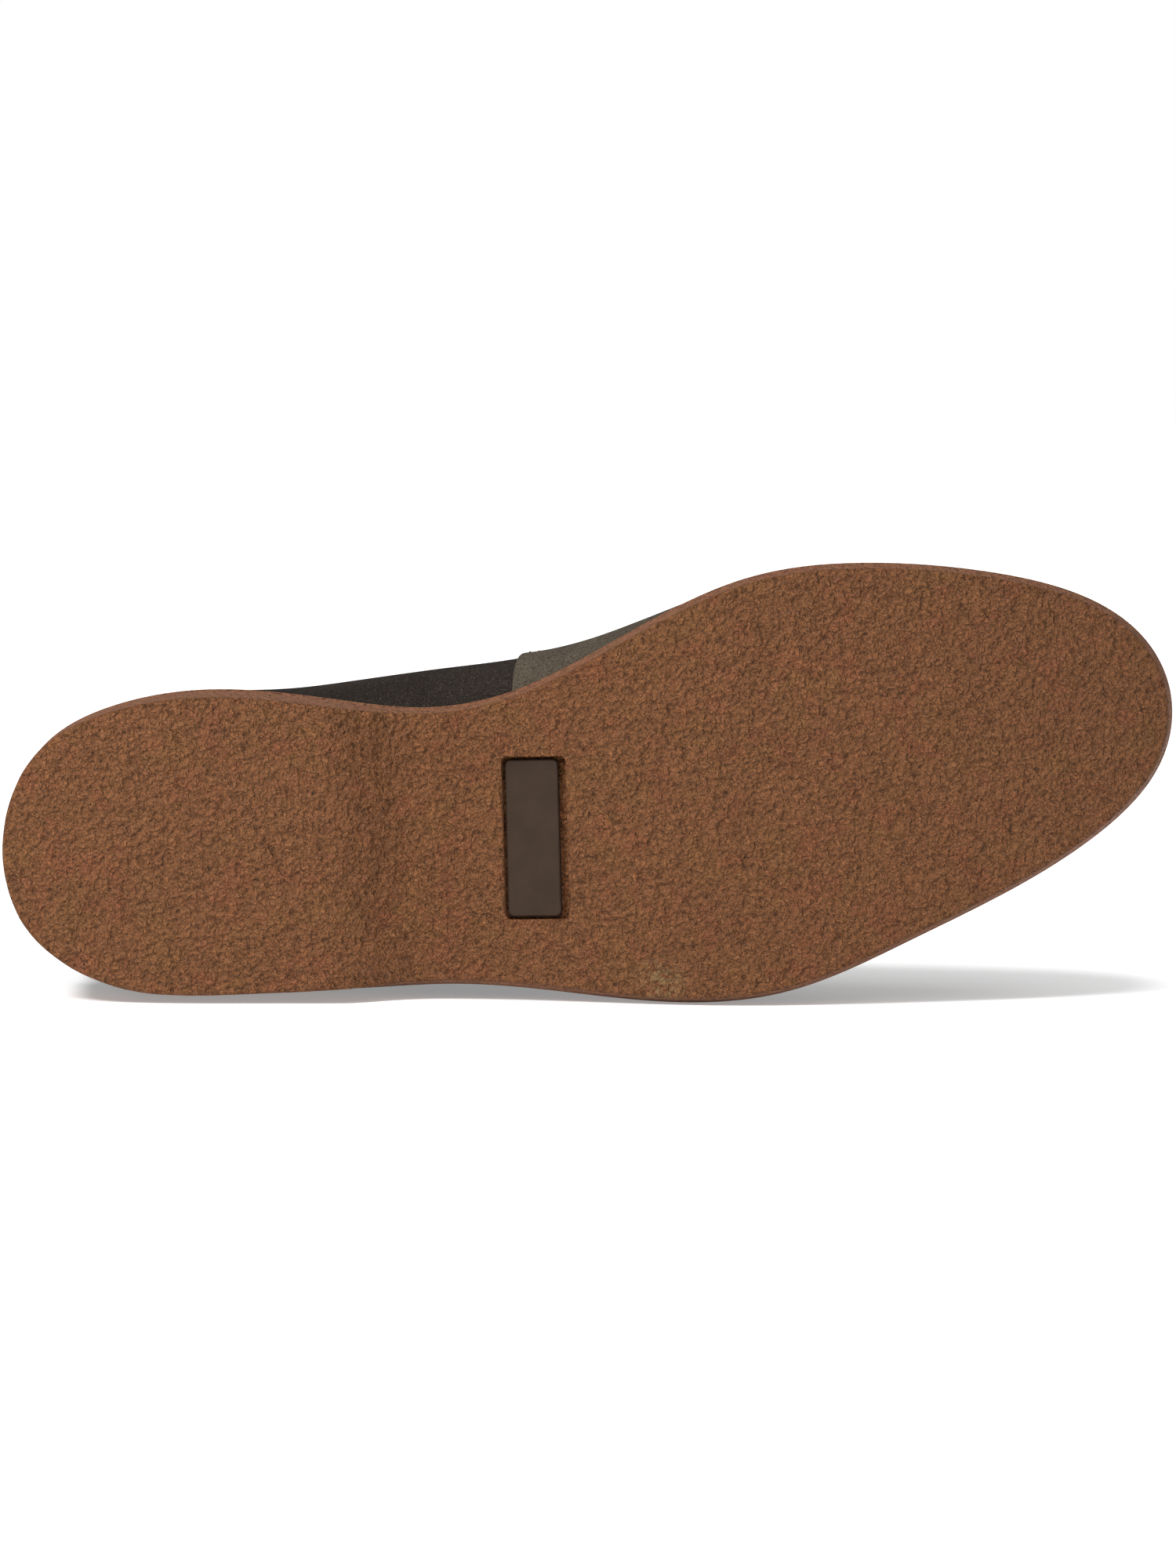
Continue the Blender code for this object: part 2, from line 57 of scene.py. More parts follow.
ARCH_RISE = 0.009
FOREFOOT_START = 0.190
TOE_SPRING_START = 0.225
BREAST_SKEW = 0.08
SEAT_SLOPE_START = 0.058
SEAT_SLOPE_END = 0.200
INSTEP_HEIGHT = 0.080
THROAT = 0.152
CONE_HEIGHT = 0.113
TOE_BOX_HEIGHT = 0.046
BACK_HEIGHT = 0.083
QUARTER_HEIGHT = 0.0745
WALL = 0.002
GAP = 0.0003
FLARE = 0.0014
TREAD_ROUND = 0.0009
RIM_HEIGHT = 0.0024
RIM_ROUND = 0.0005
GROOVE_WIDTH = 0.0010
GROOVE_DEPTH = 0.0008
RAND_INSET = 0.0004
RAND_COVER = 0.0002
RAND_THICKNESS = 0.0024
RAND_ROUND = 0.0007
UPPER_INSET = 0.0028
INSOLE_THICKNESS = 0.0035
INSOLE_ROUND = 0.0008
SEAM_SETBACK = 0.0182
SEAM = THROAT - SEAM_SETBACK
SEAM_LEAN = 0.011
SEAM_REACH = 0.030
LAP = 0.0012
LAP_FADE = 0.015
APRON_HEIGHT = 0.0012
APRON_SETBACK = 0.008
APRON_FADE = 0.010
APRON_SHARE = 0.63
PLAQUE_SETBACK = 0.0289
PLAQUE_OFFSET = 0.0119
PLAQUE_TURN = 5.5
PLAQUE_WIDTH = 0.0138
PLAQUE_HEIGHT = 0.0402
PLAQUE_THICKNESS = 0.0015
PLAQUE_ROUND = 0.0014
POCKET_DEPTH = 0.0026
POCKET_MARGIN = 0.0007
POCKET_TOE_MARGIN = 0.0022
CUTTER_REACH = 0.009
HEEL_CENTRE = 0.030
TOE_CENTRE = 0.034
FAN = 0.018

# Share of the length, middle of the outline towards the lateral side in ball widths, half of its width
OUTLINE = (
    (0.00, 0.030, 0.0),
    (0.01, 0.028, 0.194 * HEEL_WIDTH),
    (0.04, 0.020, 0.354 * HEEL_WIDTH),
    (0.10, 0.028, 0.471 * HEEL_WIDTH),
    (0.20, 0.043, 0.506 * HEEL_WIDTH),
    (0.30, 0.083, 0.478 * HEEL_WIDTH),
    (0.37, 0.110, 0.503 * WAIST_WIDTH),
    (0.45, 0.122, 0.545 * WAIST_WIDTH),
    (0.55, 0.099, 0.450 * BALL_WIDTH),
    (0.65, 0.054, 0.500 * BALL_WIDTH),
    (0.75, 0.010, 0.463 * BALL_WIDTH),
    (0.85, -0.015, 0.385 * BALL_WIDTH),
    (0.93, -0.029, 0.287 * BALL_WIDTH),
    (0.98, -0.032, 0.167 * BALL_WIDTH),
    (1.00, -0.032, 0.0),
)

# Share of the length, and the upper's centre line towards the lateral side in ball widths
CENTRE_LINE = (
    (0.00, 0.030),
    (0.20, 0.040),
    (0.40, 0.050),
    (0.55, 0.028),
    (0.70, -0.008),
    (0.85, -0.030),
    (1.00, -0.032),
)

# Station, and the height of the crown
VAMP = LENGTH - TOE_CENTRE - THROAT
FALL = INSTEP_HEIGHT - TOE_BOX_HEIGHT
CROWN = (
    (0.0, CONE_HEIGHT),
    (0.400 * THROAT, CONE_HEIGHT),
    (0.675 * THROAT, 0.92 * CONE_HEIGHT),
    (THROAT, INSTEP_HEIGHT),
    (THROAT + 0.25 * VAMP, TOE_BOX_HEIGHT + 0.63 * FALL),
    (THROAT + 0.64 * VAMP, TOE_BOX_HEIGHT + 0.25 * FALL),
    (THROAT + VAMP, TOE_BOX_HEIGHT),
    (LENGTH, 0.88 * TOE_BOX_HEIGHT),
)

# Station, and the height of the topline
TOPLINE = (
    (0.0, BACK_HEIGHT),
    (0.20 * THROAT, 0.60 * BACK_HEIGHT + 0.40 * QUARTER_HEIGHT),
    (0.44 * THROAT, QUARTER_HEIGHT),
    (0.64 * THROAT, 0.995 * QUARTER_HEIGHT),
    (0.83 * THROAT, 0.995 * QUARTER_HEIGHT),
    (THROAT, INSTEP_HEIGHT),
)

# Share of the length, squareness of the section, swell of the medial and lateral side in ball widths
SECTIONS = (
    (0.00, 1.00, 0.027, 0.027),
    (0.12, 0.92, 0.028, 0.021),
    (0.25, 0.86, 0.036, 0.038),
    (0.38, 0.86, 0.119, 0.049),
    (0.50, 0.88, 0.076, 0.021),
    (0.60, 0.82, 0.032, 0.019),
    (0.80, 0.75, 0.021, 0.021),
    (1.00, 0.72, 0.021, 0.021),
)
# Makes the largest value of rise * (1 - rise) ** 2 one
SWELL_TO_ONE = 6.75

# The column of points that reaches the throat, because the columns lean with the side seam
THROAT_COLUMN = THROAT - SEAM_LEAN * math.exp(-(((THROAT - SEAM) / SEAM_REACH) ** 2))

# Where the solids lie: the shoe's own frame to the row's frame
REST = np.array(
    (
        (0.9925769567, 0.1215449870, 0.0042089480, -0.1498902738),
        (-0.0000000065, -0.0346079357, 0.9994009733, -0.0403019562),
        (0.1216178164, -0.9919825196, -0.0343510397, 0.0375370607),
    )
)

# Fineness of the meshes
SOLE_COLUMNS = 350
SOCK_COLUMNS = 110
LINING_COLUMNS = 120
VAMP_COLUMNS = 150
QUARTER_COLUMNS = 110
TREAD_RINGS = 62
EDGE_RINGS = 5
SIDE_RINGS = 13
GROOVE_RINGS = 7
ROUND_RINGS = 5
UPPER_RINGS = 52
QUARTER_RINGS = 44
LINING_RINGS = 34
STITCH_SIDES = 6

# Steps over which slopes are taken, and what still counts as the same place
TURN_STEP = 1e-4
NORMAL_STEP = 2e-4
SHARE_STEP = 80 * NORMAL_STEP
SAME = 1e-6


# ------- the shoe's surfaces


def spline(knots, values):
    """The natural cubic curve through these points, as a function."""
    knots = np.asarray(knots, float)
    values = np.asarray(values, float)
    step = np.diff(knots)
    slope = np.diff(values) / step
    system = np.eye(len(knots))
    right = np.zeros(len(knots))
    for i in range(1, len(knots) - 1):
        system[i, i - 1 : i + 2] = step[i - 1], 2 * (step[i - 1] + step[i]), step[i]
        right[i] = 6 * (slope[i] - slope[i - 1])
    bend = np.linalg.solve(system, right)

    def curve(x):
        x = np.clip(x, knots[0], knots[-1])
        i = np.clip(np.searchsorted(knots, x) - 1, 0, len(knots) - 2)
        near = x - knots[i]
        far = knots[i + 1] - x
        bent = (bend[i] * far**3 + bend[i + 1] * near**3) / (6 * step[i])
        from_left = (values[i] / step[i] - bend[i] * step[i] / 6) * far
        from_right = (values[i + 1] / step[i] - bend[i + 1] * step[i] / 6) * near
        return bent + from_left + from_right

    return curve


def smooth(x):
    x = np.clip(x, 0.0, 1.0)
    return x * x * (3 - 2 * x)


def column(table, number, size=1.0):
    """A column of a table whose numbers are in units of that size."""
    return [row[number] * size for row in table]


def turn_of(station):
    """The angle that runs from 0 at the heel to pi at the toe."""
    return np.arccos(np.clip(1 - 2 * np.asarray(station) / LENGTH, -1, 1))


def station_of(turn):
    return LENGTH * (1 - np.cos(turn)) / 2


OUTLINE_TURNS = turn_of(column(OUTLINE, 0, LENGTH))
outline_middle = spline(OUTLINE_TURNS, column(OUTLINE, 1, BALL_WIDTH))
outline_half = spline(OUTLINE_TURNS, column(OUTLINE, 2))
centre_line = spline(column(CENTRE_LINE, 0), column(CENTRE_LINE, 1, BALL_WIDTH))
crown = spline(column(CROWN, 0), column(CROWN, 1))
topline = spline(column(TOPLINE, 0), column(TOPLINE, 1))
squareness = spline(column(SECTIONS, 0), column(SECTIONS, 1))
medial_swell = spline(column(SECTIONS, 0), column(SECTIONS, 2, BALL_WIDTH))
lateral_swell = spline(column(SECTIONS, 0), column(SECTIONS, 3, BALL_WIDTH))


def outline(turn, side, inset):
    """The sole's outline in plan, moved in by inset. side is 1 on the lateral side and -1 on the medial."""
    ahead = turn + TURN_STEP
    behind = turn - TURN_STEP
    across = outline_middle(turn) + side * outline_half(turn)
    run = station_of(ahead) - station_of(behind)
    rise = (outline_middle(ahead) - outline_middle(behind)) + side * (
        outline_half(ahead) - outline_half(behind)
    )
    run = np.where(np.abs(np.sin(turn)) < TURN_STEP, 0.0, run)
    span = np.hypot(run, rise)
    return station_of(turn) + side * inset * rise / span, across - side * inset * run / span


def centre(turn):
    """The point of the centre line that a column of points fans out from."""
    station = station_of(turn)
    station = HEEL_CENTRE + FAN * np.logaddexp(0, (station - HEEL_CENTRE) / FAN)
    toe = LENGTH - TOE_CENTRE
    station = toe - FAN * np.logaddexp(0, (toe - station) / FAN)
    return station, centre_line(station / LENGTH)


def spring(x):
    rise = np.clip((x - TOE_SPRING_START) / (LENGTH - TOE_SPRING_START), 0, 1)
    return TOE_SPRING * rise**2


def tread(x, y):
    """Height of the tread: flat heel, breast, arch, flat forefoot and toe spring."""
    x_breast = x + BREAST_SKEW * y
    up = smooth((x_breast - HEEL_LENGTH) / BREAST_LENGTH)
    arch_end = HEEL_LENGTH + BREAST_LENGTH
    down = smooth((x - arch_end) / (FOREFOOT_START - arch_end))
    return ARCH_RISE * up * (1 - down) + spring(x)


def seat(x):
    """Height of the sole's upper face."""
    fall = smooth((x - SEAT_SLOPE_START) / (SEAT_SLOPE_END - SEAT_SLOPE_START))
    return HEEL_THICKNESS + (FOREFOOT_THICKNESS - HEEL_THICKNESS) * fall + spring(x)


def foot(x):
    """Height of the upper's lower edge."""
    return seat(x) + GAP + RAND_THICKNESS + GAP


def leaned(turn, share):
    """The columns near the side seam lean forward as they rise, so one of them is the seam."""
    station = station_of(turn)
    lean = SEAM_LEAN * share * np.exp(-(((station - SEAM) / SEAM_REACH) ** 2))
    return turn_of(station + lean)


def top_angle(turn):
    """The angle at the topline, and pi/2 in front of the throat, where both sides meet."""
    station = station_of(turn)
    centre_x, _ = centre(turn)
    base = foot(station)
    rise = (topline(station) - base) / (crown(centre_x) - base)
    angle = np.arcsin(np.clip(rise, 0, 1) ** (1 / squareness(station / LENGTH)))
    return np.where(station >= THROAT - SAME, math.pi / 2, angle)


def past_throat(turn):
    """Whether the column ends on the crown, where both sides meet."""
    return leaned(turn, 1.0) >= turn_of(THROAT) - SAME


def skin(turn, side, share):
    """A point of the upper's surface. share is 0 at the sole and 1 at the topline or the crown."""
    top = top_angle(leaned(turn, 1.0))
    angle = share * top
    turn = leaned(turn, share)
    foot_x, foot_y = outline(turn, side, UPPER_INSET)
    centre_x, centre_y = centre(turn)
    reach = np.hypot(foot_x - centre_x, foot_y - centre_y)
    along = station_of(turn) / LENGTH
    power = squareness(along)
    rise = np.sin(angle) ** power
    swell = np.where(side > 0, lateral_swell(along), medial_swell(along))
    out = reach * np.clip(np.cos(angle), 0, 1) ** power + swell * SWELL_TO_ONE * rise * (1 - rise) ** 2
    x = centre_x + (foot_x - centre_x) / reach * out
    y = centre_y + (foot_y - centre_y) / reach * out
    base = foot(foot_x)
    return np.stack(np.broadcast_arrays(x, y, base + (crown(x) - base) * rise), axis=-1)


def unit(vectors):
    return vectors / np.maximum(np.linalg.norm(vectors, axis=-1, keepdims=True), 1e-12)


def skin_normal(turn, side, share):
    """Outward normal of the upper's surface."""
    turn, side, share = np.broadcast_arrays(turn, side, share)
    low = np.clip(share - SHARE_STEP / 2, 0.0, 1 - SHARE_STEP)
    high = low + SHARE_STEP
    middle = (low + high) / 2
    off_ends = np.clip(turn, 3 * NORMAL_STEP, math.pi - 3 * NORMAL_STEP)
    up = skin(turn, side, high) - skin(turn, side, low)
    ahead = skin(off_ends + NORMAL_STEP, side, middle) - skin(off_ends - NORMAL_STEP, side, middle)
    return unit(np.cross(ahead, up)) * -np.sign(side)[..., None]


# ------- meshes


def to_row(points):
    points = np.asarray(points, float).reshape(-1, 3)
    return points @ REST[:, :3].T + REST[:, 3]


def link(name, data):
    """A new object in the scene."""
    made = bpy.data.objects.new(name, data)
    bpy.context.scene.collection.objects.link(made)
    return made


def add_mesh(name, points, faces, look, sharp=40):
    """A piece from points in the shoe's frame, sharp at edges that turn by more than so many degrees."""
    mesh = bpy.data.meshes.new(name)
    mesh.from_pydata(to_row(points).tolist(), [], faces)
    shape = bmesh.new()
    shape.from_mesh(mesh)
    bmesh.ops.delete(shape, geom=[v for v in shape.verts if not v.link_faces], context="VERTS")
    bmesh.ops.recalc_face_normals(shape, faces=shape.faces[:])
    shape.to_mesh(mesh)
    shape.free()
    mesh.materials.append(look)
    mesh.shade_smooth()
    mesh.set_sharp_from_angle(angle=math.radians(sharp))
    return link(name, mesh)


def dress(piece, slot, *nodes):
    """Puts the piece into the part's one body, and hides the nodes that it replaces. slot is not used."""
    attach(piece, "root")
    if nodes:
        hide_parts(*nodes)


def add_face(faces, *corners):
    """Adds a face, unless it has collapsed to a line or a point, and says whether it did."""
    corners = list(dict.fromkeys(corners))
    if len(corners) < 3:
        return False
    faces.append(corners)
    return True


def quads(index, faces):
    """Adds the faces of a grid of point numbers, and gives each face's row."""
    rows = []
    index = index.tolist()
    for k, (lower, upper) in enumerate(zip(index, index[1:])):
        for j in range(len(lower) - 1):
            if add_face(faces, lower[j], lower[j + 1], upper[j + 1], upper[j]):
                rows.append(k)
    return rows


def sole_columns(count):
    """Turns and sides of even columns, from the toe round the lateral side to the heel and back."""
    turns = np.linspace(0, math.pi, count + 1)
    side = np.concatenate([np.ones(count + 1), -np.ones(count - 1)])
    return np.concatenate([turns[::-1], turns[1:-1]]), side


def twins(count):
    """For each of sole_columns, the number of the column across from it."""
    return (count - np.arange(count)) % count


def both_sides(turns):
    """Those columns on the lateral side, the last one once, and back along the medial side."""
    side = np.concatenate([np.ones(len(turns)), -np.ones(len(turns) - 1)])
    return np.concatenate([turns, turns[-2::-1]]), side


def mirrored(count):
    """For each of both_sides' columns, the number of the column across from it."""
    return count - 1 - np.arange(count)


def rounding(radius, steps):
    """Inset and rise along a quarter round, from a flat face to an upright one."""
    angles = np.linspace(0, math.pi / 2, steps)
    return [(radius * (1 - math.sin(angle)), radius * (1 - math.cos(angle))) for angle in angles]


def sole_points(rows, turn, side):
    """Rings of points from rows of share, inset and height."""
    centre_x, centre_y = centre(turn)
    rings = []
    for share, inset, height in rows:
        x, y = outline(turn, side, inset)
        x = centre_x + share * (x - centre_x)
        y = centre_y + share * (y - centre_y)
        rings.append(np.column_stack([x, y, height(x, y)]))
    return np.stack(rings)


def add_rings(name, rings, look, closed_ends, sharp=40):
    """A piece from rings that run all the way round the shoe, and the ring that each face starts from.

    The first and the last ring are closed on the centre line, or else joined to each other.
    """
    rows, count = rings.shape[:2]
    index = np.arange(rows * count).reshape(rows, count)
    if closed_ends:
        medial = np.arange(count) > count // 2
        for k in (0, rows - 1):
            index[k, medial] = index[k, twins(count)[medial]]
    faces = []
    face_rows = quads(np.pad(index, ((0, int(not closed_ends)), (0, 1)), mode="wrap"), faces)
    return add_mesh(name, rings.reshape(-1, 3), faces, look, sharp), face_rows


def shell(name, outer, inner, closed, look):
    """A patch of two skins with a border. Where closed, the sides' top points are the same."""
    rows, count = outer.shape[:2]
    index = np.arange(2 * rows * count).reshape(2, rows, count)
    medial = closed & (np.arange(count) > count // 2)
    index[:, -1, medial] = index[:, -1, mirrored(count)[medial]]
    faces = []
    for grid in (index[0], index[1], index[:, 0], index[:, :, 0], index[:, :, -1]):
        quads(grid, faces)
    top, under = index[:, -1].tolist()
    for j in range(count - 1):
        if not (closed[j] and closed[j + 1]):
            add_face(faces, top[j], top[j + 1], under[j + 1], under[j])
    return add_mesh(name, np.concatenate([outer.reshape(-1, 3), inner.reshape(-1, 3)]), faces, look)


# ------- materials


def new_look(name, roughness, **constants):
    """A material and its shader, with constants set on the shader's sockets."""
    look = bpy.data.materials.new(name)
    look.use_nodes = True
    shader = look.node_tree.nodes["Principled BSDF"]
    shader.inputs["Roughness"].default_value = roughness
    for socket, value in constants.items():
        shader.inputs[socket.replace("_", " ")].default_value = value
    return look, shader


def wire(shader, **sockets):
    """Links those outputs to the shader's sockets."""
    for socket, value in sockets.items():
        shader.id_data.links.new(value, shader.inputs[socket.replace("_", " ")])


def node(tree, kind, links=None, **settings):
    """A node with its settings, and its sockets linked or set by their number or name."""
    made = tree.nodes.new(kind)
    for key, value in settings.items():
        setattr(made, key, value)
    for key, value in (links or {}).items():
        if isinstance(value, bpy.types.NodeSocket):
            tree.links.new(value, made.inputs[key])
        else:
            made.inputs[key].default_value = value
    return made


def place(shader):
    return node(shader.id_data, "ShaderNodeTexCoord").outputs["Object"]


def cloud(where, scale, detail=2.0, rough=0.5, warp=0.0):
    """Fractal noise, centred on a half."""
    links = {"Vector": where, "Scale": scale, "Detail": detail, "Roughness": rough, "Distortion": warp}
    return node(where.id_data, "ShaderNodeTexNoise", links).outputs["Fac"]


def span(value, low, high, to_low=0.0, to_high=1.0):
    """Maps a range to another one, clamped and soft."""
    links = {"Value": value, 1: low, 2: high, 3: to_low, 4: to_high}
    made = node(value.id_data, "ShaderNodeMapRange", links, interpolation_type="SMOOTHSTEP")
    return made.outputs["Result"]


def maths(kind, first, second=0.0):
    return node(first.id_data, "ShaderNodeMath", {0: first, 1: second}, operation=kind).outputs[0]


def plus(first, second):
    return maths("ADD", first, second)


def times(first, second):
    return maths("MULTIPLY", first, second)


def mix(share, first, second):
    """A colour between two, each of them an output or three numbers."""
    links = {0: share}
    for key, value in ((6, first), (7, second)):
        links[key] = value if isinstance(value, bpy.types.NodeSocket) else (*value, 1.0)
    return node(share.id_data, "ShaderNodeMix", links, data_type="RGBA").outputs[2]


def bump(height, distance, strength=1.0, after=None):
    """The normal of that relief, on top of another one's if given."""
    links = {"Height": height, "Distance": distance, "Strength": strength}
    if after is not None:
        links["Normal"] = after
    return node(height.id_data, "ShaderNodeBump", links).outputs["Normal"]


def scuff(where, colour):
    """The paler, patchy mark at the lateral side of the ball."""
    spot = tuple(to_row(SCUFF_PLACE)[0])
    away = node(where.id_data, "ShaderNodeVectorMath", {0: where, 1: spot}, operation="DISTANCE")
    mark = span(away.outputs["Value"], *SCUFF_RADII)
    patch = span(cloud(where, scale=520.0, detail=3.0, rough=0.6), 0.42, 0.58)
    return mix(times(times(mark, patch), SCUFF_SHARE), colour, SCUFF_COLOUR)


def crepe_look(name, dark, base, ruddy, sallow, relief, fine, scuffed=False):
    """Moulded crepe rubber: soft crumbs with creases between them, blotched ruddy and sallow, with painted
    shade in the hollows.
    """
    look, shader = new_look(name, 0.7, Specular_IOR_Level=0.2)
    where = place(shader)
    crumbs = cloud(where, scale=500.0, detail=1.5, warp=0.35)
    small = cloud(where, scale=950.0, detail=1.5, warp=0.3)
    grit = cloud(where, scale=2400.0, rough=0.6)
    crease = span(maths("ABSOLUTE", maths("SUBTRACT", small, 0.5)), 0.0, 0.05)
    height = plus(crumbs, times(small, 0.75))
    height = plus(height, times(crease, 0.05))
    normal = bump(grit, fine, after=bump(height, relief))
    red = span(cloud(where, scale=130.0, detail=3.0, rough=0.65), 0.50, 0.66)
    yellow = span(cloud(where, scale=70.0, detail=3.0, rough=0.6), 0.48, 0.68)
    colour = mix(times(yellow, 0.5), base, sallow)
    colour = mix(times(red, 0.5), colour, ruddy)
    # Painted shade: where the crumbs and the small relief dip, the colour is mixed towards dark, as shade
    # in the hollows.
    painted_hollow_shade = times(span(crumbs, 0.50, 0.34), 0.24)
    painted_hollow_shade = plus(painted_hollow_shade, times(span(small, 0.46, 0.34), 0.44))
    colour = mix(painted_hollow_shade, colour, dark)
    if scuffed:
        colour = scuff(where, colour)
    rough = span(crumbs, 0.3, 0.7, 0.74, 0.60)
    wire(shader, Base_Color=colour, Roughness=rough, Normal=normal)
    return look


def suede_look(name, base, deep, pale, speck, sheen, nap):
    """Suede: a fine speckled nap with brushed lighter and darker clouds."""
    look, shader = new_look(name, 0.95, Specular_IOR_Level=0.05, Sheen_Weight=sheen, Sheen_Roughness=0.55)
    shader.inputs["Sheen Tint"].default_value = (*pale, 1.0)
    where = place(shader)
    brushed = cloud(where, scale=48.0, detail=4.0, rough=0.6, warp=0.8)
    fibre = cloud(where, scale=1700.0, detail=3.0, rough=0.7)
    dust = cloud(where, scale=3000.0, detail=1.0)
    colour = mix(span(brushed, 0.38, 0.66), base, pale)
    colour = mix(span(fibre, 0.55, 0.30), colour, deep)
    colour = mix(times(span(dust, 0.62, 0.76), 0.6), colour, speck)
    normal = bump(fibre, nap, after=bump(brushed, 0.0004, 0.6))
    wire(shader, Base_Color=colour, Normal=normal)
    return look


def leather_look(name, base, deep, roughness, grain):
    """Smooth lining leather: small pebbled grain, faint clouds."""
    look, shader = new_look(name, roughness, Specular_IOR_Level=0.4)
    where = place(shader)
    links = {"Vector": where, "Scale": 900.0}
    cells = node(where.id_data, "ShaderNodeTexVoronoi", links, feature="DISTANCE_TO_EDGE")
    pebble = span(cells.outputs["Distance"], 0.0, 0.25)
    clouds = cloud(where, scale=60.0, detail=3.0)
    colour = mix(span(clouds, 0.35, 0.7), base, deep)
    colour = mix(span(pebble, 0.4, 0.0, 0.0, 0.35), colour, deep)
    wire(shader, Base_Color=colour, Normal=bump(pebble, grain))
    return look


def rubber_look(name, base, deep, roughness, grain):
    """Smooth moulded rubber, faintly mottled."""
    look, shader = new_look(name, roughness, Specular_IOR_Level=0.1)
    where = place(shader)
    clouds = cloud(where, scale=120.0, detail=3.0, rough=0.6)
    fine = cloud(where, scale=2200.0, rough=0.6)
    colour = mix(span(clouds, 0.35, 0.65), base, deep)
    wire(shader, Base_Color=colour, Normal=bump(fine, grain))
    return look


def thread_look(name, base, deep):
    """Waxed thread with a fine twist."""
    look, shader = new_look(name, 0.7, Specular_IOR_Level=0.3)
    twist = cloud(place(shader), scale=3500.0, detail=1.0)
    colour = mix(span(twist, 0.4, 0.6), base, deep)
    wire(shader, Base_Color=colour, Normal=bump(twist, 0.0002))
    return look


# The scuff: its middle in the shoe's frame, the radii where it starts and is full, its share, its colour
SCUFF_PLACE = (0.1635, 0.0525, 0.0)
SCUFF_RADII = (0.009, 0.002)
SCUFF_SHARE = 0.7
SCUFF_COLOUR = (0.26, 0.17, 0.07)

# In these crepe looks, dark is the colour of the painted shade in the hollows.
CREPE = crepe_look(
    "crepe_rubber",
    dark=(0.064, 0.022, 0.006),
    base=(0.206, 0.08, 0.028),
    ruddy=(0.224, 0.07, 0.028),
    sallow=(0.204, 0.087, 0.026),
    relief=0.0072,
    fine=0.0001,
    scuffed=True,
)
SIDE = crepe_look(
    "crepe_side",
    dark=(0.06, 0.023, 0.009),
    base=(0.192, 0.078, 0.036),
    ruddy=(0.208, 0.07, 0.034),
    sallow=(0.188, 0.082, 0.034),
    relief=0.003,
    fine=0.00004,
)
RAND = crepe_look(
    "rand_rubber",
    dark=(0.09, 0.036, 0.02),
    base=(0.18, 0.075, 0.042),
    ruddy=(0.2, 0.07, 0.042),
    sallow=(0.17, 0.085, 0.042),
    relief=0.0001,
    fine=0.00003,
)
DARK_SUEDE = suede_look(
    "suede_dark",
    base=(0.0155, 0.012, 0.0098),
    deep=(0.005, 0.004, 0.0035),
    pale=(0.0215, 0.017, 0.0138),
    speck=(0.13, 0.105, 0.085),
    sheen=0.02,
    nap=0.00022,
)
PALE_SUEDE = suede_look(
    "suede_pale",
    base=(0.051, 0.041, 0.0302),
    deep=(0.018, 0.0148, 0.011),
    pale=(0.07, 0.056, 0.0412),
    speck=(0.2, 0.17, 0.13),
    sheen=0.06,
    nap=0.00024,
)
# The pocket's crepe, made far darker than the tread's: painted shade for the recess round the plaque.
POCKET_SHADE = rubber_look(
    "crepe_pocket_shade", base=(0.06, 0.024, 0.012), deep=(0.036, 0.015, 0.008), roughness=0.8, grain=0.00006
)
PLAQUE = rubber_look(
    "plaque_rubber", base=(0.035, 0.0215, 0.0145), deep=(0.03, 0.0185, 0.012), roughness=0.6, grain=0.00003
)
LINING = leather_look(
    "lining_leather", base=(0.3, 0.17, 0.088), deep=(0.225, 0.118, 0.058), roughness=0.55, grain=0.00008
)
SOCK = leather_look(
    "sock_leather", base=(0.27, 0.145, 0.072), deep=(0.19, 0.095, 0.045), roughness=0.5, grain=0.00008
)
THREAD = thread_look("thread", base=(0.085, 0.067, 0.051), deep=(0.045, 0.035, 0.026))


# ------- the sole


def wander(point, size, seed):
    """Smooth noise between about -1 and 1 with features of the given size."""
    return noise.noise(Vector(point) / size + Vector((seed * 7.3, seed * 3.1, seed * 5.7)))


# Size, seed and lift of the tread's pebbles
PEBBLES = ((0.0048, 1, 0.00010), (0.0024, 2, 0.00009))

# The wrinkles across the breast: place, reach, lift, size, stretch across the sole, and how they wander
WRINKLE_PLACE = 0.0975
WRINKLE_REACH = 0.0085
WRINKLE_LIFT = 0.00075
WRINKLE_SIZE = 0.0026
WRINKLE_STRETCH = 0.42
WRINKLE_WANDER = 0.0022
WRINKLE_WANDER_SIZE = 0.009

# The unevenness of the tread's edge, its size along the edge, and the rings that it fades over
EDGE_WAVE = 0.00012
EDGE_WAVE_SIZE = 0.0034
EDGE_WAVE_RINGS = 20


def crepe_lift(x, y):
    """How far the tread's surface stands out or in: broad pebbles, and wrinkles across the breast."""
    values = []
    for px, py in zip(x.ravel().tolist(), y.ravel().tolist()):
        lift = 0.0
        for size, seed, amount in PEBBLES:
            lift += amount * wander((px, py, 0.0), size, seed)
        breast = math.exp(-(((px + BREAST_SKEW * py - WRINKLE_PLACE) / WRINKLE_REACH) ** 2))
        if breast > 0.02:
            bent = px + WRINKLE_WANDER * wander((px, py, 0.0), WRINKLE_WANDER_SIZE, 5)
            lift += WRINKLE_LIFT * breast * wander((bent, py * WRINKLE_STRETCH, 0.0), WRINKLE_SIZE, 3)
        values.append(lift)
    return np.array(values).reshape(x.shape)


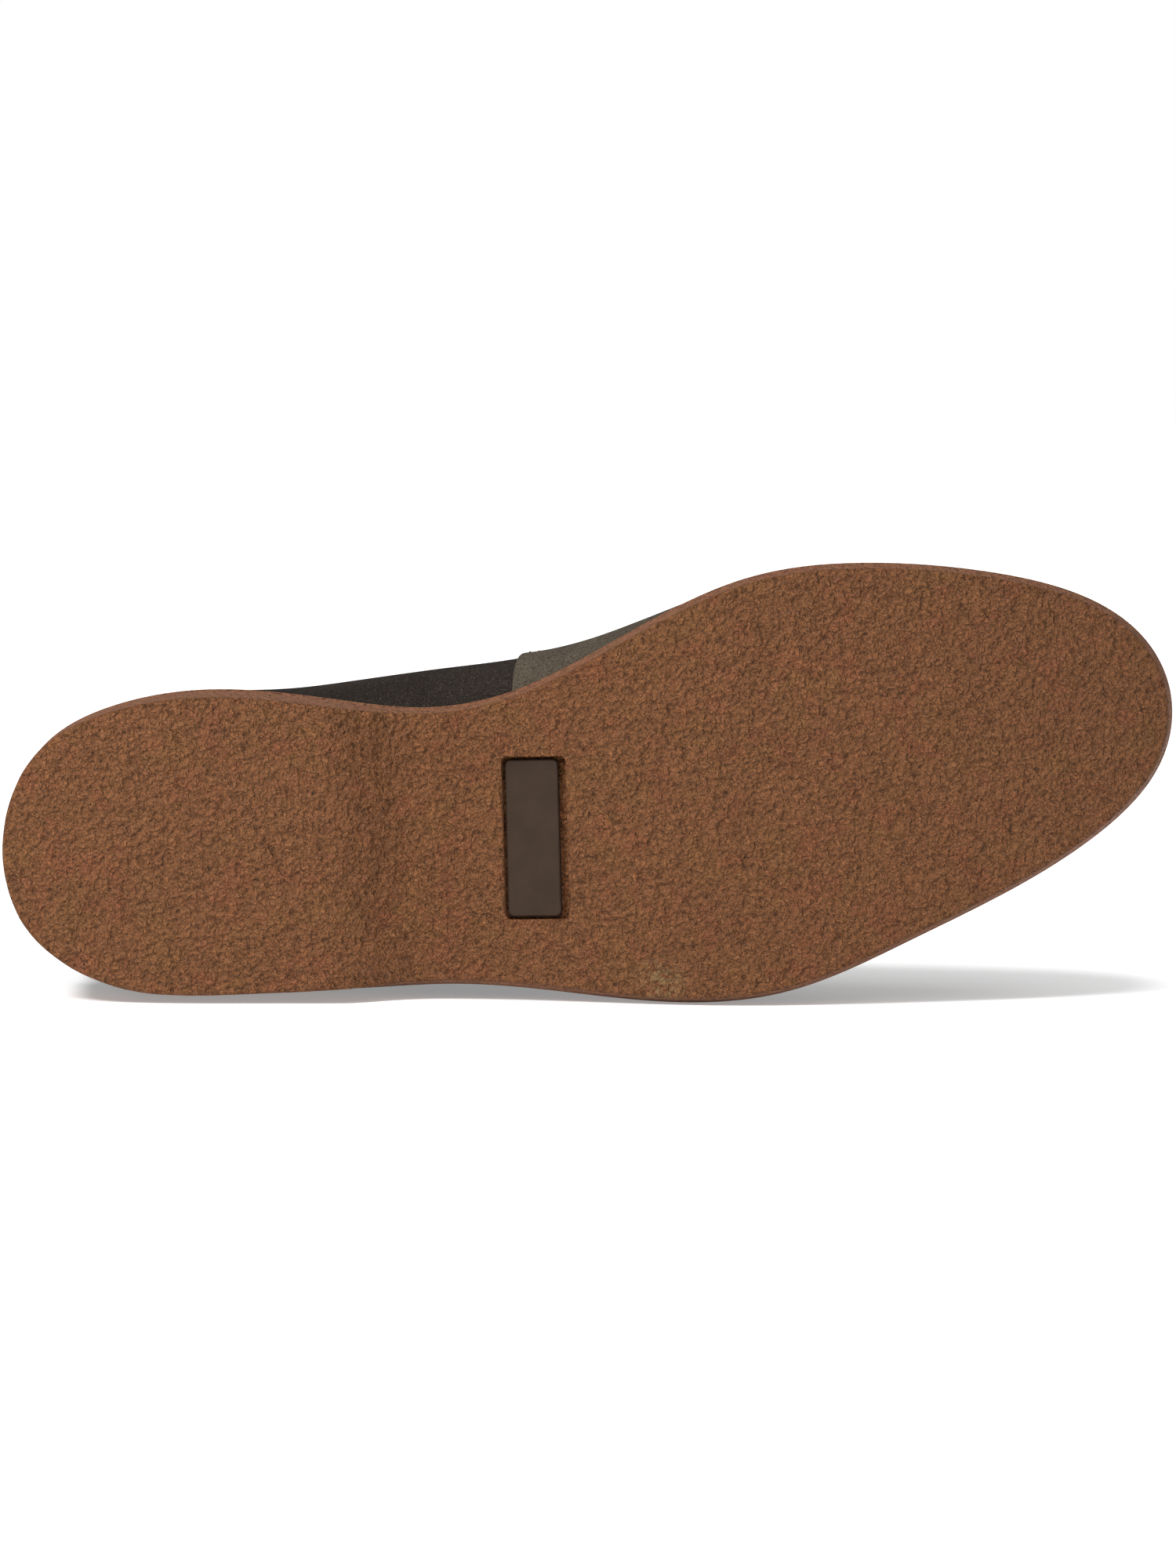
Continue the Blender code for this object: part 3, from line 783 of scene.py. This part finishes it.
def sole_rows():
    """Rows of the sole's skin: share, inset, height, and how much of the crepe's relief there is."""

    def above_tread(lift):
        return lambda x, y: tread(x, y) + lift

    def from_seat(lift):
        return lambda x, y: seat(x) + lift

    def between(share, low, high):
        return lambda x, y: (1 - share) * (tread(x, y) + low) + share * (seat(x) + high)

    edge = FLARE + TREAD_ROUND
    rows = [(share, edge, above_tread(0.0), 1.0) for share in np.linspace(0, 1, TREAD_RINGS)]
    for inset, rise in rounding(TREAD_ROUND, EDGE_RINGS + 1)[1:]:
        rows.append((1.0, FLARE + inset, above_tread(rise), 1.0))
    groove_low = -RIM_HEIGHT - GROOVE_WIDTH
    for share in np.linspace(0, 1, SIDE_RINGS + 1)[1:]:
        inset = FLARE * (1 - 0.8 * share)
        rows.append((1.0, inset, between(share, TREAD_ROUND, groove_low), 0.5 * (1 - share)))
    for share in np.linspace(0, 1, GROOVE_RINGS + 2)[1:-1]:
        inset = 0.2 * FLARE * (1 - share) + GROOVE_DEPTH * math.sin(math.pi * share) ** 0.7
        rows.append((1.0, inset, from_seat(groove_low + GROOVE_WIDTH * share), 0.0))
    for inset, rise in rounding(RIM_ROUND, ROUND_RINGS):
        rows.append((1.0, inset, from_seat(-RIM_HEIGHT + rise), 0.0))
    for fall, inset in rounding(RIM_ROUND, ROUND_RINGS):
        rows.append((1.0, inset, from_seat(-fall), 0.0))
    rows += [(share, RIM_ROUND, from_seat(0.0), 0.0) for share in (0.97, 0.5, 0.0)]
    return rows


def plaque_place():
    """Where the plaque's pocket opens, level with the tread round it, its own +Z out of the tread."""
    step = 0.001
    x = HEEL_LENGTH + BREAST_LENGTH + PLAQUE_SETBACK
    y = PLAQUE_OFFSET
    slope = float(tread(x + step, y) - tread(x - step, y)) / (2 * step)
    flip = Matrix.Rotation(math.pi, 4, "X")
    tilt = Matrix.Rotation(-math.atan(slope), 4, "Y")
    turn = Matrix.Rotation(math.radians(PLAQUE_TURN), 4, "Z")
    return Matrix.Translation((x, y, float(tread(x, y)))) @ turn @ tilt @ flip


def rounded_rectangle(width, height, radius, segments=7):
    """Corner points of a rectangle with round corners, going round once."""
    points = []
    for turn, (sx, sy) in enumerate(((1, 1), (-1, 1), (-1, -1), (1, -1))):
        for k in range(segments + 1):
            angle = (turn + k / segments) * math.pi / 2
            x = sx * (width / 2 - radius) + radius * math.cos(angle)
            y = sy * (height / 2 - radius) + radius * math.sin(angle)
            points.append((x, y))
    return points


def block(name, rows, at, look):
    """A closed block from rows of width, height, corner radius, level and shift along X."""
    verts = []
    for width, height, radius, level, shift in rows:
        corners = rounded_rectangle(width, height, radius)
        verts += [list(at @ Vector((x + shift, y, level))) for x, y in corners]
    count = len(corners)
    faces = [list(range(count)), list(range((len(rows) - 1) * count, len(rows) * count))]
    for first in range(0, (len(rows) - 1) * count, count):
        for j in range(count):
            low = first + j
            low_after = first + (j + 1) % count
            faces.append([low, low_after, low_after + count, low + count])
    return add_mesh(name, verts, faces, look, sharp=25)


def wave_edge(rings):
    """Makes the tread's edge a little uneven, less and less up the side."""
    first = TREAD_RINGS - 1
    wave = np.array([wander((x, y, 0.0), EDGE_WAVE_SIZE, 8) for x, y, _ in rings[first].tolist()])
    out = unit(rings[first + EDGE_RINGS] - rings[first]) * np.array([1.0, 1.0, 0.0])
    fade = np.linspace(1.0, 0.0, EDGE_WAVE_RINGS)[:, None, None]
    rings[first : first + EDGE_WAVE_RINGS] += EDGE_WAVE * wave[None, :, None] * out[None] * fade


def cut_pocket(sole):
    """Cuts the plaque's pocket, which has more room at the plaque's toe side."""
    width = PLAQUE_WIDTH + POCKET_MARGIN + POCKET_TOE_MARGIN
    height = PLAQUE_HEIGHT + 2 * POCKET_MARGIN
    middle = (POCKET_TOE_MARGIN - POCKET_MARGIN) / 2
    rows = [(width, height, PLAQUE_ROUND, level, middle) for level in (-POCKET_DEPTH, CUTTER_REACH)]
    # The cutter carries the pocket's dark painted-shade colour.
    cutter = block("pocket_cutter", rows, plaque_place(), POCKET_SHADE)
    pocket = sole.modifiers.new("pocket", "BOOLEAN")
    pocket.operation = "DIFFERENCE"
    pocket.solver = "EXACT"
    pocket.object = cutter
    bpy.context.view_layer.update()
    evaluated = sole.evaluated_get(bpy.context.evaluated_depsgraph_get())
    mesh = bpy.data.meshes.new_from_object(evaluated)
    sole.modifiers.clear()
    sole.data = mesh
    bpy.data.objects.remove(cutter, do_unlink=True)


def add_sole():
    turn, side = sole_columns(SOLE_COLUMNS)
    rows = sole_rows()
    rings = sole_points([row[:3] for row in rows], turn, side)
    relief = np.array(column(rows, 3))[:, None]
    rings[:, :, 2] += crepe_lift(rings[:, :, 0], rings[:, :, 1]) * relief
    wave_edge(rings)
    sole, face_rows = add_rings("crepe_sole", rings, CREPE, closed_ends=True, sharp=50)
    sole.data.materials.append(SIDE)
    on_side = np.array(face_rows) >= TREAD_RINGS + EDGE_RINGS
    sole.data.polygons.foreach_set("material_index", on_side.astype(np.int32))
    cut_pocket(sole)
    return sole


def add_plaque():
    bottom = GAP - POCKET_DEPTH
    top = bottom + PLAQUE_THICKNESS
    bevel = 0.0005
    less = ((0.0, 0.0, bottom), (0.0, 0.0, top - bevel), (0.4, 0.0, top - 0.4 * bevel), (1.6, 0.6, top))
    rows = []
    for narrower, tighter, level in less:
        width = PLAQUE_WIDTH - narrower * bevel
        height = PLAQUE_HEIGHT - narrower * bevel
        rows.append((width, height, PLAQUE_ROUND - tighter * bevel, level, 0.0))
    return block("plaque", rows, plaque_place(), PLAQUE)


def on_sole(lift):
    """A height above the underside of what rests on the sole."""
    return lambda x, y: seat(x) + GAP + lift


def add_rand():
    inner = UPPER_INSET + WALL + RAND_COVER
    rows = [(1.0, inner, on_sole(0.0))]
    for inset, rise in rounding(RAND_ROUND, 4):
        rows.append((1.0, RAND_INSET + inset, on_sole(rise)))
    for fall, inset in rounding(RAND_ROUND, 4):
        rows.append((1.0, RAND_INSET + inset, on_sole(RAND_THICKNESS - fall)))
    rows.append((1.0, inner, on_sole(RAND_THICKNESS)))
    rings = sole_points(rows, *sole_columns(SOLE_COLUMNS))
    return add_rings("sole_rand", rings, RAND, closed_ends=False)[0]


def add_sock():
    edge = UPPER_INSET + WALL + RAND_COVER + GAP
    top = INSOLE_THICKNESS
    dish = 0.0009
    rows = [(0.0, edge, on_sole(0.0)), (1.0, edge, on_sole(0.0)), (1.0, edge, on_sole(top - INSOLE_ROUND))]
    for fall, inset in rounding(INSOLE_ROUND, 4)[1:]:
        rows.append((1.0, edge + inset, on_sole(top - fall)))
    for share in np.linspace(1, 0, 16)[1:]:
        rows.append((share, edge + INSOLE_ROUND, on_sole(top - dish * (1 - share**4))))
    rings = sole_points(rows, *sole_columns(SOCK_COLUMNS))
    return add_rings("sock", rings, SOCK, closed_ends=True)[0]


# ------- the upper

# Station, lean towards the toe on the lateral side, depth, half width of each crease across the vamp
CREASES = (
    (0.171, 0.004, 0.00050, 0.0040),
    (0.184, 0.006, 0.00060, 0.0045),
    (0.199, 0.009, 0.00035, 0.0050),
)

# Closer columns: behind the throat, ahead of the seam on the vamp, and of the quarters under the vamp
THROAT_STEPS = (0.0, 0.0001, 0.0003, 0.0006, 0.0010, 0.0016, 0.0024, 0.0034, 0.0046)
LAP_STEPS = (0.0, 0.0001, 0.0003, 0.0006, 0.0009, 0.0012, 0.0018, 0.0027)
HIDDEN_STEPS = (0.0062, 0.0045, 0.003, 0.0015)

# How deep under the wall's outer face the panels end and the lining starts
PANEL_THICKNESS = 0.0009
LINING_DEPTH = 0.00095

# The round on the vamp's edge, the apron ridge's half width as a share, and how its stitches pinch it
LAP_ROUND = 0.0011
APRON_WIDTH = 0.0135
APRON_PINCH = 0.12
APRON_PINCH_LENGTH = 0.00072

# The quarters' relief: the groove of the back seam, the stiff counter round the heel, and the soft waves
BACK_SEAM_DEPTH = 0.0005
BACK_SEAM_TURN = 0.011
COUNTER_LIFT = 0.0005
COUNTER_END = 0.052
COUNTER_FADE = 0.010
COUNTER_TOP = 0.80
WAVE_LIFT = 0.0006
WAVE_START = 0.085
WAVE_LENGTH = 0.0095
WAVE_MIDDLE = 0.100
WAVE_REACH = 0.022

# How deep the quarters run under the vamp, and how soon
UNDERLAP_DEPTH = 0.0008
UNDERLAP_LENGTH = 0.0015


def creases(points, share):
    """Soft troughs across the vamp where it bends, fading towards the sole."""
    x = points[..., 0]
    y = points[..., 1]
    lift = np.zeros(x.shape)
    for station, lean, depth, width in CREASES:
        off = (x - station - lean * y / (0.5 * BALL_WIDTH)) / width
        lift += depth * (0.55 * np.exp(-((off - 1.6) ** 2)) - np.exp(-(off**2)))
    return lift * smooth((share - 0.35) / 0.25) * smooth((0.93 - share) / 0.2 + 0.25)


def lap_lift(ahead):
    """How far the vamp's outer face stands off the last, with its edge rounded down."""
    lap = LAP * np.exp(-np.maximum(ahead, 0) / LAP_FADE)
    round_off = np.clip(ahead / LAP_ROUND, 0, 1)
    return lap * (0.25 + 0.75 * np.sqrt(1 - (1 - round_off) ** 2))


def apron_lift(station, share):
    """The apron's raised seam, pinched by its stitches, with a shallow furrow on each side."""
    fade = smooth((station - THROAT + APRON_SETBACK) / APRON_FADE)
    off = (share - APRON_SHARE) / APRON_WIDTH
    pinch = 1 + APRON_PINCH * np.sin(station / APRON_PINCH_LENGTH)
    ridge = APRON_HEIGHT * pinch * np.exp(-(off**2))
    inside = 0.00035 * np.exp(-(((off - 2.2) / 0.9) ** 2))
    outside = 0.00025 * np.exp(-(((off + 2.2) / 0.9) ** 2))
    return fade * (ridge - (inside + outside))


def vamp_columns():
    near_throat = THROAT_COLUMN - np.array(THROAT_STEPS)
    even = station_of(np.linspace(float(turn_of(SEAM + 0.0036)), math.pi, VAMP_COLUMNS))
    far = np.min(np.abs(even[:, None] - near_throat[None]), axis=1) > 0.0004
    even = even[far | (even > THROAT)]
    return both_sides(turn_of(np.sort(np.concatenate([SEAM + np.array(LAP_STEPS), near_throat, even]))))


def quarter_columns():
    even = station_of(np.linspace(float(turn_of(SEAM)), 0.0, QUARTER_COLUMNS))
    turns = turn_of(np.concatenate([SEAM + np.array(HIDDEN_STEPS), even]))
    turns[-1] = 0.0
    return both_sides(turns)


def vamp_rings():
    """Shares of the vamp's rings, closer together at the apron's ridge and at the sole."""
    fine = APRON_SHARE + np.linspace(-0.035, 0.035, 15)
    even = np.linspace(0, 1, UPPER_RINGS)
    even = even[(even < fine[0] - 0.008) | (even > fine[-1] + 0.008)]
    return np.sort(np.concatenate([even, fine, [0.004, 0.009]]))


def wall_grid(turn, side, share, closed, twin):
    """Points and normals of the wall, with one normal where both sides meet on the crown."""
    turn, side, share = turn[None], side[None], share[:, None]
    normal = skin_normal(turn, side, share)
    shared = unit(normal[-1] + normal[-1][twin])
    normal[-1] = np.where(closed[:, None], shared, normal[-1])
    return skin(turn, side, share), normal


def moved(grid, normal, lift):
    """The wall's grid moved out by lift, with its lowest ring set on the rand."""
    wall = grid + normal * np.broadcast_to(lift, grid.shape[:2])[..., None]
    wall[0, :, 2] = foot(wall[0, :, 0])
    return wall


def add_vamp():
    turn, side = vamp_columns()
    share = vamp_rings()
    closed = past_throat(turn)
    grid, normal = wall_grid(turn, side, share, closed, mirrored(len(turn)))
    lap = lap_lift(station_of(turn) - SEAM)
    lift = lap + apron_lift(station_of(turn), share[:, None]) + creases(grid, share[:, None])
    under = np.minimum(lap - PANEL_THICKNESS, 0.00003)
    return shell("vamp", moved(grid, normal, lift), moved(grid, normal, under), closed, PALE_SUEDE)


def quarter_lift(turn, share):
    """How far the quarters' outer face stands off the last."""
    around = station_of(turn)
    seam = -BACK_SEAM_DEPTH * np.exp(-((turn / BACK_SEAM_TURN) ** 2))
    counter = COUNTER_LIFT * smooth((COUNTER_END - around) / COUNTER_FADE)
    wave = WAVE_LIFT * np.sin((around - WAVE_START) / WAVE_LENGTH)
    wave = wave * np.exp(-(((around - WAVE_MIDDLE) / WAVE_REACH) ** 2))
    return seam + counter * smooth((COUNTER_TOP - share) / 0.10) + wave * smooth((share - 0.45) / 0.3)


def add_quarters():
    turn, side = quarter_columns()
    share = np.sort(np.concatenate([np.linspace(0, 1, QUARTER_RINGS), [0.004, 0.010]]))
    closed = np.zeros(len(turn), bool)
    grid, normal = wall_grid(turn, side, share, closed, mirrored(len(turn)))
    under_vamp = UNDERLAP_DEPTH * smooth((station_of(turn) - SEAM) / UNDERLAP_LENGTH)
    outer = moved(grid, normal, quarter_lift(turn, share[:, None]) - under_vamp)
    return shell("quarters", outer, moved(grid, normal, -PANEL_THICKNESS), closed, DARK_SUEDE)


def add_lining():
    """The inside's own skin, all round, closed over the toes."""
    turn, side = sole_columns(LINING_COLUMNS)
    near = turn[np.argmin(np.abs(station_of(turn) - THROAT_COLUMN))]
    turn = np.where(np.abs(turn - near) < SAME, turn_of(THROAT_COLUMN), turn)
    share = np.linspace(0, 1, LINING_RINGS)
    closed = past_throat(turn)
    twin = twins(len(turn))
    grid, normal = wall_grid(turn, side, share, closed, twin)
    rings = np.concatenate([moved(grid, normal, -LINING_DEPTH), moved(grid, normal, -WALL)[::-1]])
    rows, count = rings.shape[:2]
    index = np.arange(rows * count).reshape(rows, count)
    medial = closed & (np.arange(count) > count // 2)
    top = len(share) - 1
    for k in (top, top + 1):
        index[k, medial] = index[k, twin[medial]]
    index = np.pad(index, (0, 1), mode="wrap").tolist()
    shut = np.append(closed, closed[0])
    faces = []
    for k in range(rows):
        low, high = index[k : k + 2]
        for j in range(count):
            if not (k == top and shut[j] and shut[j + 1]):
                add_face(faces, low[j], low[j + 1], high[j + 1], high[j])
    return add_mesh("lining", rings.reshape(-1, 3), faces, LINING)


def resample(points, normals, pitch):
    """Evenly spaced points and normals along a line of points."""
    run = np.concatenate([[0.0], np.cumsum(np.linalg.norm(np.diff(points, axis=0), axis=1))])
    at = np.linspace(0, run[-1], max(2, int(round(run[-1] / pitch)) + 1))
    spots = np.column_stack([np.interp(at, run, points[:, k]) for k in range(3)])
    ups = unit(np.column_stack([np.interp(at, run, normals[:, k]) for k in range(3)]))
    return spots, ups


def eased(ring):
    """A closed line of points, each moved halfway to the middle of its neighbours."""
    return 0.5 * ring + 0.25 * (np.roll(ring, 1, axis=0) + np.roll(ring, -1, axis=0))


# How far apart the points of the collar's edge are, and how often they are eased
TOPLINE_PITCH = 0.0014
TOPLINE_EASING = 6


def topline_path():
    """Points, outward and downward directions of the collar's edge, once round from the throat."""
    near_throat = THROAT_COLUMN - np.array(THROAT_STEPS + (0.006, 0.008))
    turn = turn_of(np.concatenate([near_throat, np.linspace(THROAT_COLUMN - 0.010, 0.0, 150)]))
    turn[-1] = 0.0
    turn, side = both_sides(turn)
    turn, side = turn[:-1], side[:-1]
    points = skin(turn, side, np.ones(len(turn)))
    normals = skin_normal(turn, side, np.full(len(turn), 0.985))
    normals[0] = unit(normals[1] + normals[-1])
    points = np.concatenate([points, points[:1]])
    normals = np.concatenate([normals, normals[:1]])
    spots, ups = resample(points, normals, TOPLINE_PITCH)
    spots, ups = spots[:-1], ups[:-1]
    for _ in range(TOPLINE_EASING):
        spots, ups = eased(spots), unit(eased(ups))
    along = unit(np.roll(spots, -1, axis=0) - np.roll(spots, 1, axis=0))
    down = unit(np.cross(ups, along))
    return spots, ups, -down if np.mean(down[:, 2]) > 0 else down


# Round the collar's folded binding: out from the wall's outer face, and down from the topline
BINDING = (
    (-0.0002, 0.0048), (0.0004, 0.0047), (0.00062, 0.0044), (0.00068, 0.0036),
    (0.00072, 0.0022), (0.00068, 0.0008), (0.00048, -0.0001), (0.00005, -0.0007),
    (-0.0005, -0.0010), (-0.0011, -0.00105), (-0.0017, -0.0008), (-0.0022, -0.0002),
    (-0.00245, 0.0007), (-0.00255, 0.0022), (-0.00250, 0.0040), (-0.00235, 0.0046),
    (-0.0018, 0.0048),
)

# Where the collar's edge starts to go under the vamp and over what length, how deep, and its stitches
TUCK_START = SEAM + 0.004
TUCK_LENGTH = 0.005
TUCK_DEPTH = 0.0012
STITCH_TUCK = 0.0016

# How far ahead of the side seam its two rows of stitches run
SEAM_ROWS = (0.0022, 0.0046)

# Share of the length, and thickness, of a stitch's sections
STITCH = ((-0.5, 0.25), (-0.42, 0.75), (-0.2, 1.0), (0.2, 1.0), (0.42, 0.75), (0.5, 0.25))


def tucked(spots):
    """How far the collar's edge lies under the vamp, from 0 at the sides to 1 at the throat."""
    return smooth((spots[:, 0] - TUCK_START) / TUCK_LENGTH)


def add_binding():
    spots, ups, down = topline_path()
    under = tucked(spots)[:, None]
    rings = []
    for out, low in BINDING:
        sink = TUCK_DEPTH * under * smooth((low - 0.001) / 0.002) * (out > 0)
        rings.append(spots + ups * (out - sink) + down * low)
    return add_rings("collar_binding", np.stack(rings), DARK_SUEDE, closed_ends=False, sharp=60)[0]


def add_stitch(points, faces, middle, along, up, length, radius):
    """Adds a short flattened bar with round ends, which sink into the surface."""
    across = np.cross(up, along)
    first = len(points)
    for share, size in STITCH:
        spot = middle + along * share * length - up * 0.55 * radius * (2 * share) ** 4
        for k in range(STITCH_SIDES):
            angle = 2 * math.pi * k / STITCH_SIDES
            points.append(spot + size * radius * (math.cos(angle) * across + 0.8 * math.sin(angle) * up))
    last = first + (len(STITCH) - 1) * STITCH_SIDES
    for low in range(first, last, STITCH_SIDES):
        high = low + STITCH_SIDES
        for k in range(STITCH_SIDES):
            after = (k + 1) % STITCH_SIDES
            faces.append([low + k, low + after, high + after, high + k])
    faces += [list(range(end, end + STITCH_SIDES)) for end in (first, last)]


def stitches(points, faces, path, normals, pitch, length, radius, turn=0.0):
    """Stitches along a path, each turned out of the path's line by an angle."""
    spots, ups = resample(path, normals, pitch)
    for i in range(1, len(spots) - 1):
        up = ups[i]
        along = spots[i + 1] - spots[i - 1]
        along = unit(along - up * float(along @ up))
        heading = math.cos(turn) * along + math.sin(turn) * np.cross(up, along)
        add_stitch(points, faces, spots[i], heading, up, length, radius)


def add_stitches():
    """The row along the topline, and two rows along each side seam."""
    points, faces = [], []
    spots, ups, down = topline_path()
    path = spots + ups * (0.00070 - STITCH_TUCK * tucked(spots)[:, None]) + down * 0.0036
    path = np.concatenate([path, path[:2]])
    ups = np.concatenate([ups, ups[:2]])
    stitches(points, faces, path, ups, pitch=0.0030, length=0.0021, radius=0.00028)
    share = np.linspace(0.20, 0.90, 90)
    for ahead in SEAM_ROWS:
        for side in (1.0, -1.0):
            turn = np.full(share.shape, float(turn_of(SEAM + ahead)))
            up = skin_normal(turn, side, share)
            path = skin(turn, side, share) + up * (lap_lift(np.array([ahead]))[0] + 0.00006)
            stitches(points, faces, path, up, pitch=0.0029, length=0.0020, radius=0.00026)
    return add_mesh("stitching", points, faces, THREAD, sharp=80)


def add_apron_stitches():
    """Hand-sewn bars across the apron's ridge, from one side of the throat round the toe to the other."""
    toe = LENGTH - 0.004
    sides = np.linspace(THROAT + 0.004, toe, 200)
    round_toe = station_of(np.linspace(float(turn_of(toe)), math.pi, 60))[1:]
    turn, side = both_sides(turn_of(np.concatenate([sides, round_toe])))
    share = np.full(turn.shape, APRON_SHARE)
    up = skin_normal(turn, side, share)
    lift = lap_lift(station_of(turn) - SEAM) + APRON_HEIGHT * 0.93
    path = skin(turn, side, share) + up * lift[:, None]
    points, faces = [], []
    stitches(points, faces, path, up, pitch=0.0046, length=0.0034, radius=0.00036, turn=1.25)
    return add_mesh("apron_stitching", points, faces, THREAD, sharp=80)


# ------- floor, light and camera

WHITE = (1.0, 1.0, 1.0, 1.0)
FLOOR_REACH = 8.0


def floor_look():
    """A pale floor that glows a little, so that it shows white like the backdrop."""
    look, shader = new_look("floor", 0.6, Specular_IOR_Level=0.2, Emission_Strength=0.28)
    shader.inputs["Emission Color"].default_value = WHITE
    speck = span(cloud(place(shader), scale=30.0), 0.3, 0.7)
    wire(shader, Base_Color=mix(speck, (0.92, 0.92, 0.92), (0.94, 0.94, 0.94)))
    return look


def add_floor():
    mesh = bpy.data.meshes.new("floor")
    corners = [(x * FLOOR_REACH, y * FLOOR_REACH, 0) for x, y in ((-1, -1), (1, -1), (1, 1), (-1, 1))]
    mesh.from_pydata(corners, [], [(0, 1, 2, 3)])
    mesh.materials.append(floor_look())
    link("floor", mesh)


def facing(direction):
    return Vector(direction).to_track_quat("Z", "Y").to_euler()


def add_sun(name, towards, strength, softness):
    """A far light from that direction, the same all over the floor."""
    lamp = bpy.data.lights.new(name, "SUN")
    lamp.energy = strength
    lamp.angle = math.radians(softness)
    link(name, lamp).rotation_euler = facing(towards)


def add_lamp(name, at, aim, size, power):
    """A round lamp near the shoe, turned to the point that it is aimed at."""
    lamp = bpy.data.lights.new(name, "AREA")
    lamp.shape = "DISK"
    lamp.size = size
    lamp.energy = power
    light = link(name, lamp)
    light.location = at
    light.rotation_euler = facing(Vector(at) - Vector(aim))


def add_world(strength):
    """White all round, which the object sees dimmer than the eye does."""
    world = bpy.data.worlds.new("studio")
    bpy.context.scene.world = world
    world.use_nodes = True
    tree = world.node_tree
    back = tree.nodes["Background"]
    back.inputs["Color"].default_value = WHITE
    seen = node(tree, "ShaderNodeLightPath").outputs["Is Camera Ray"]
    level = node(tree, "ShaderNodeMapRange", {"Value": seen, 3: strength, 4: 1.0}).outputs["Result"]
    tree.links.new(level, back.inputs["Strength"])


# Camera: degrees above the floor and round from the front, metres away, roll in degrees, focal length
CAMERA_ELEVATION = 5.05
CAMERA_AZIMUTH = 1.74
CAMERA_DISTANCE = 1.30
CAMERA_ROLL = -0.007
CAMERA_LENS = 117.34
CAMERA_AIM = (0.0007, -0.035, 0.0560)


def add_camera():
    camera = bpy.data.cameras.new("camera")
    camera.sensor_width = 36.0
    camera.lens = CAMERA_LENS
    camera.clip_start = 0.05
    eye = link("camera", camera)
    up = math.radians(CAMERA_ELEVATION)
    turn = math.radians(CAMERA_AZIMUTH)
    away = Vector((math.sin(turn) * math.cos(up), -math.cos(turn) * math.cos(up), math.sin(up)))
    eye.location = Vector(CAMERA_AIM) + CAMERA_DISTANCE * away
    look = (-away).to_track_quat("-Z", "Y").to_matrix()
    eye.rotation_euler = (look @ Matrix.Rotation(math.radians(CAMERA_ROLL), 3, "Z")).to_euler()
    bpy.context.scene.camera = eye


dress(add_sole(), "crepe_rubber", "outsole")
dress(add_plaque(), "plaque_rubber", "badge_plate")
dress(add_rand(), "rand_rubber", "rand")
dress(add_sock(), "sock_leather", "insole")
dress(add_quarters(), "suede", "upper")
dress(add_vamp(), "suede", "upper")
dress(add_lining(), "sock_leather")
dress(add_binding(), "suede")
dress(add_stitches(), "suede")
dress(add_apron_stitches(), "suede")
add_floor()
add_world(0.36)
add_sun("key", (0.0, -0.55, 1.45), strength=1.45, softness=14.0)
add_sun("top", (0.0, -0.45, 1.50), strength=0.95, softness=80.0)
add_lamp("left", at=(-0.50, -0.50, 0.62), aim=(0.0, -0.04, 0.05), size=0.2, power=6.7)
add_camera()
bpy.context.scene.view_settings.view_transform = "Standard"
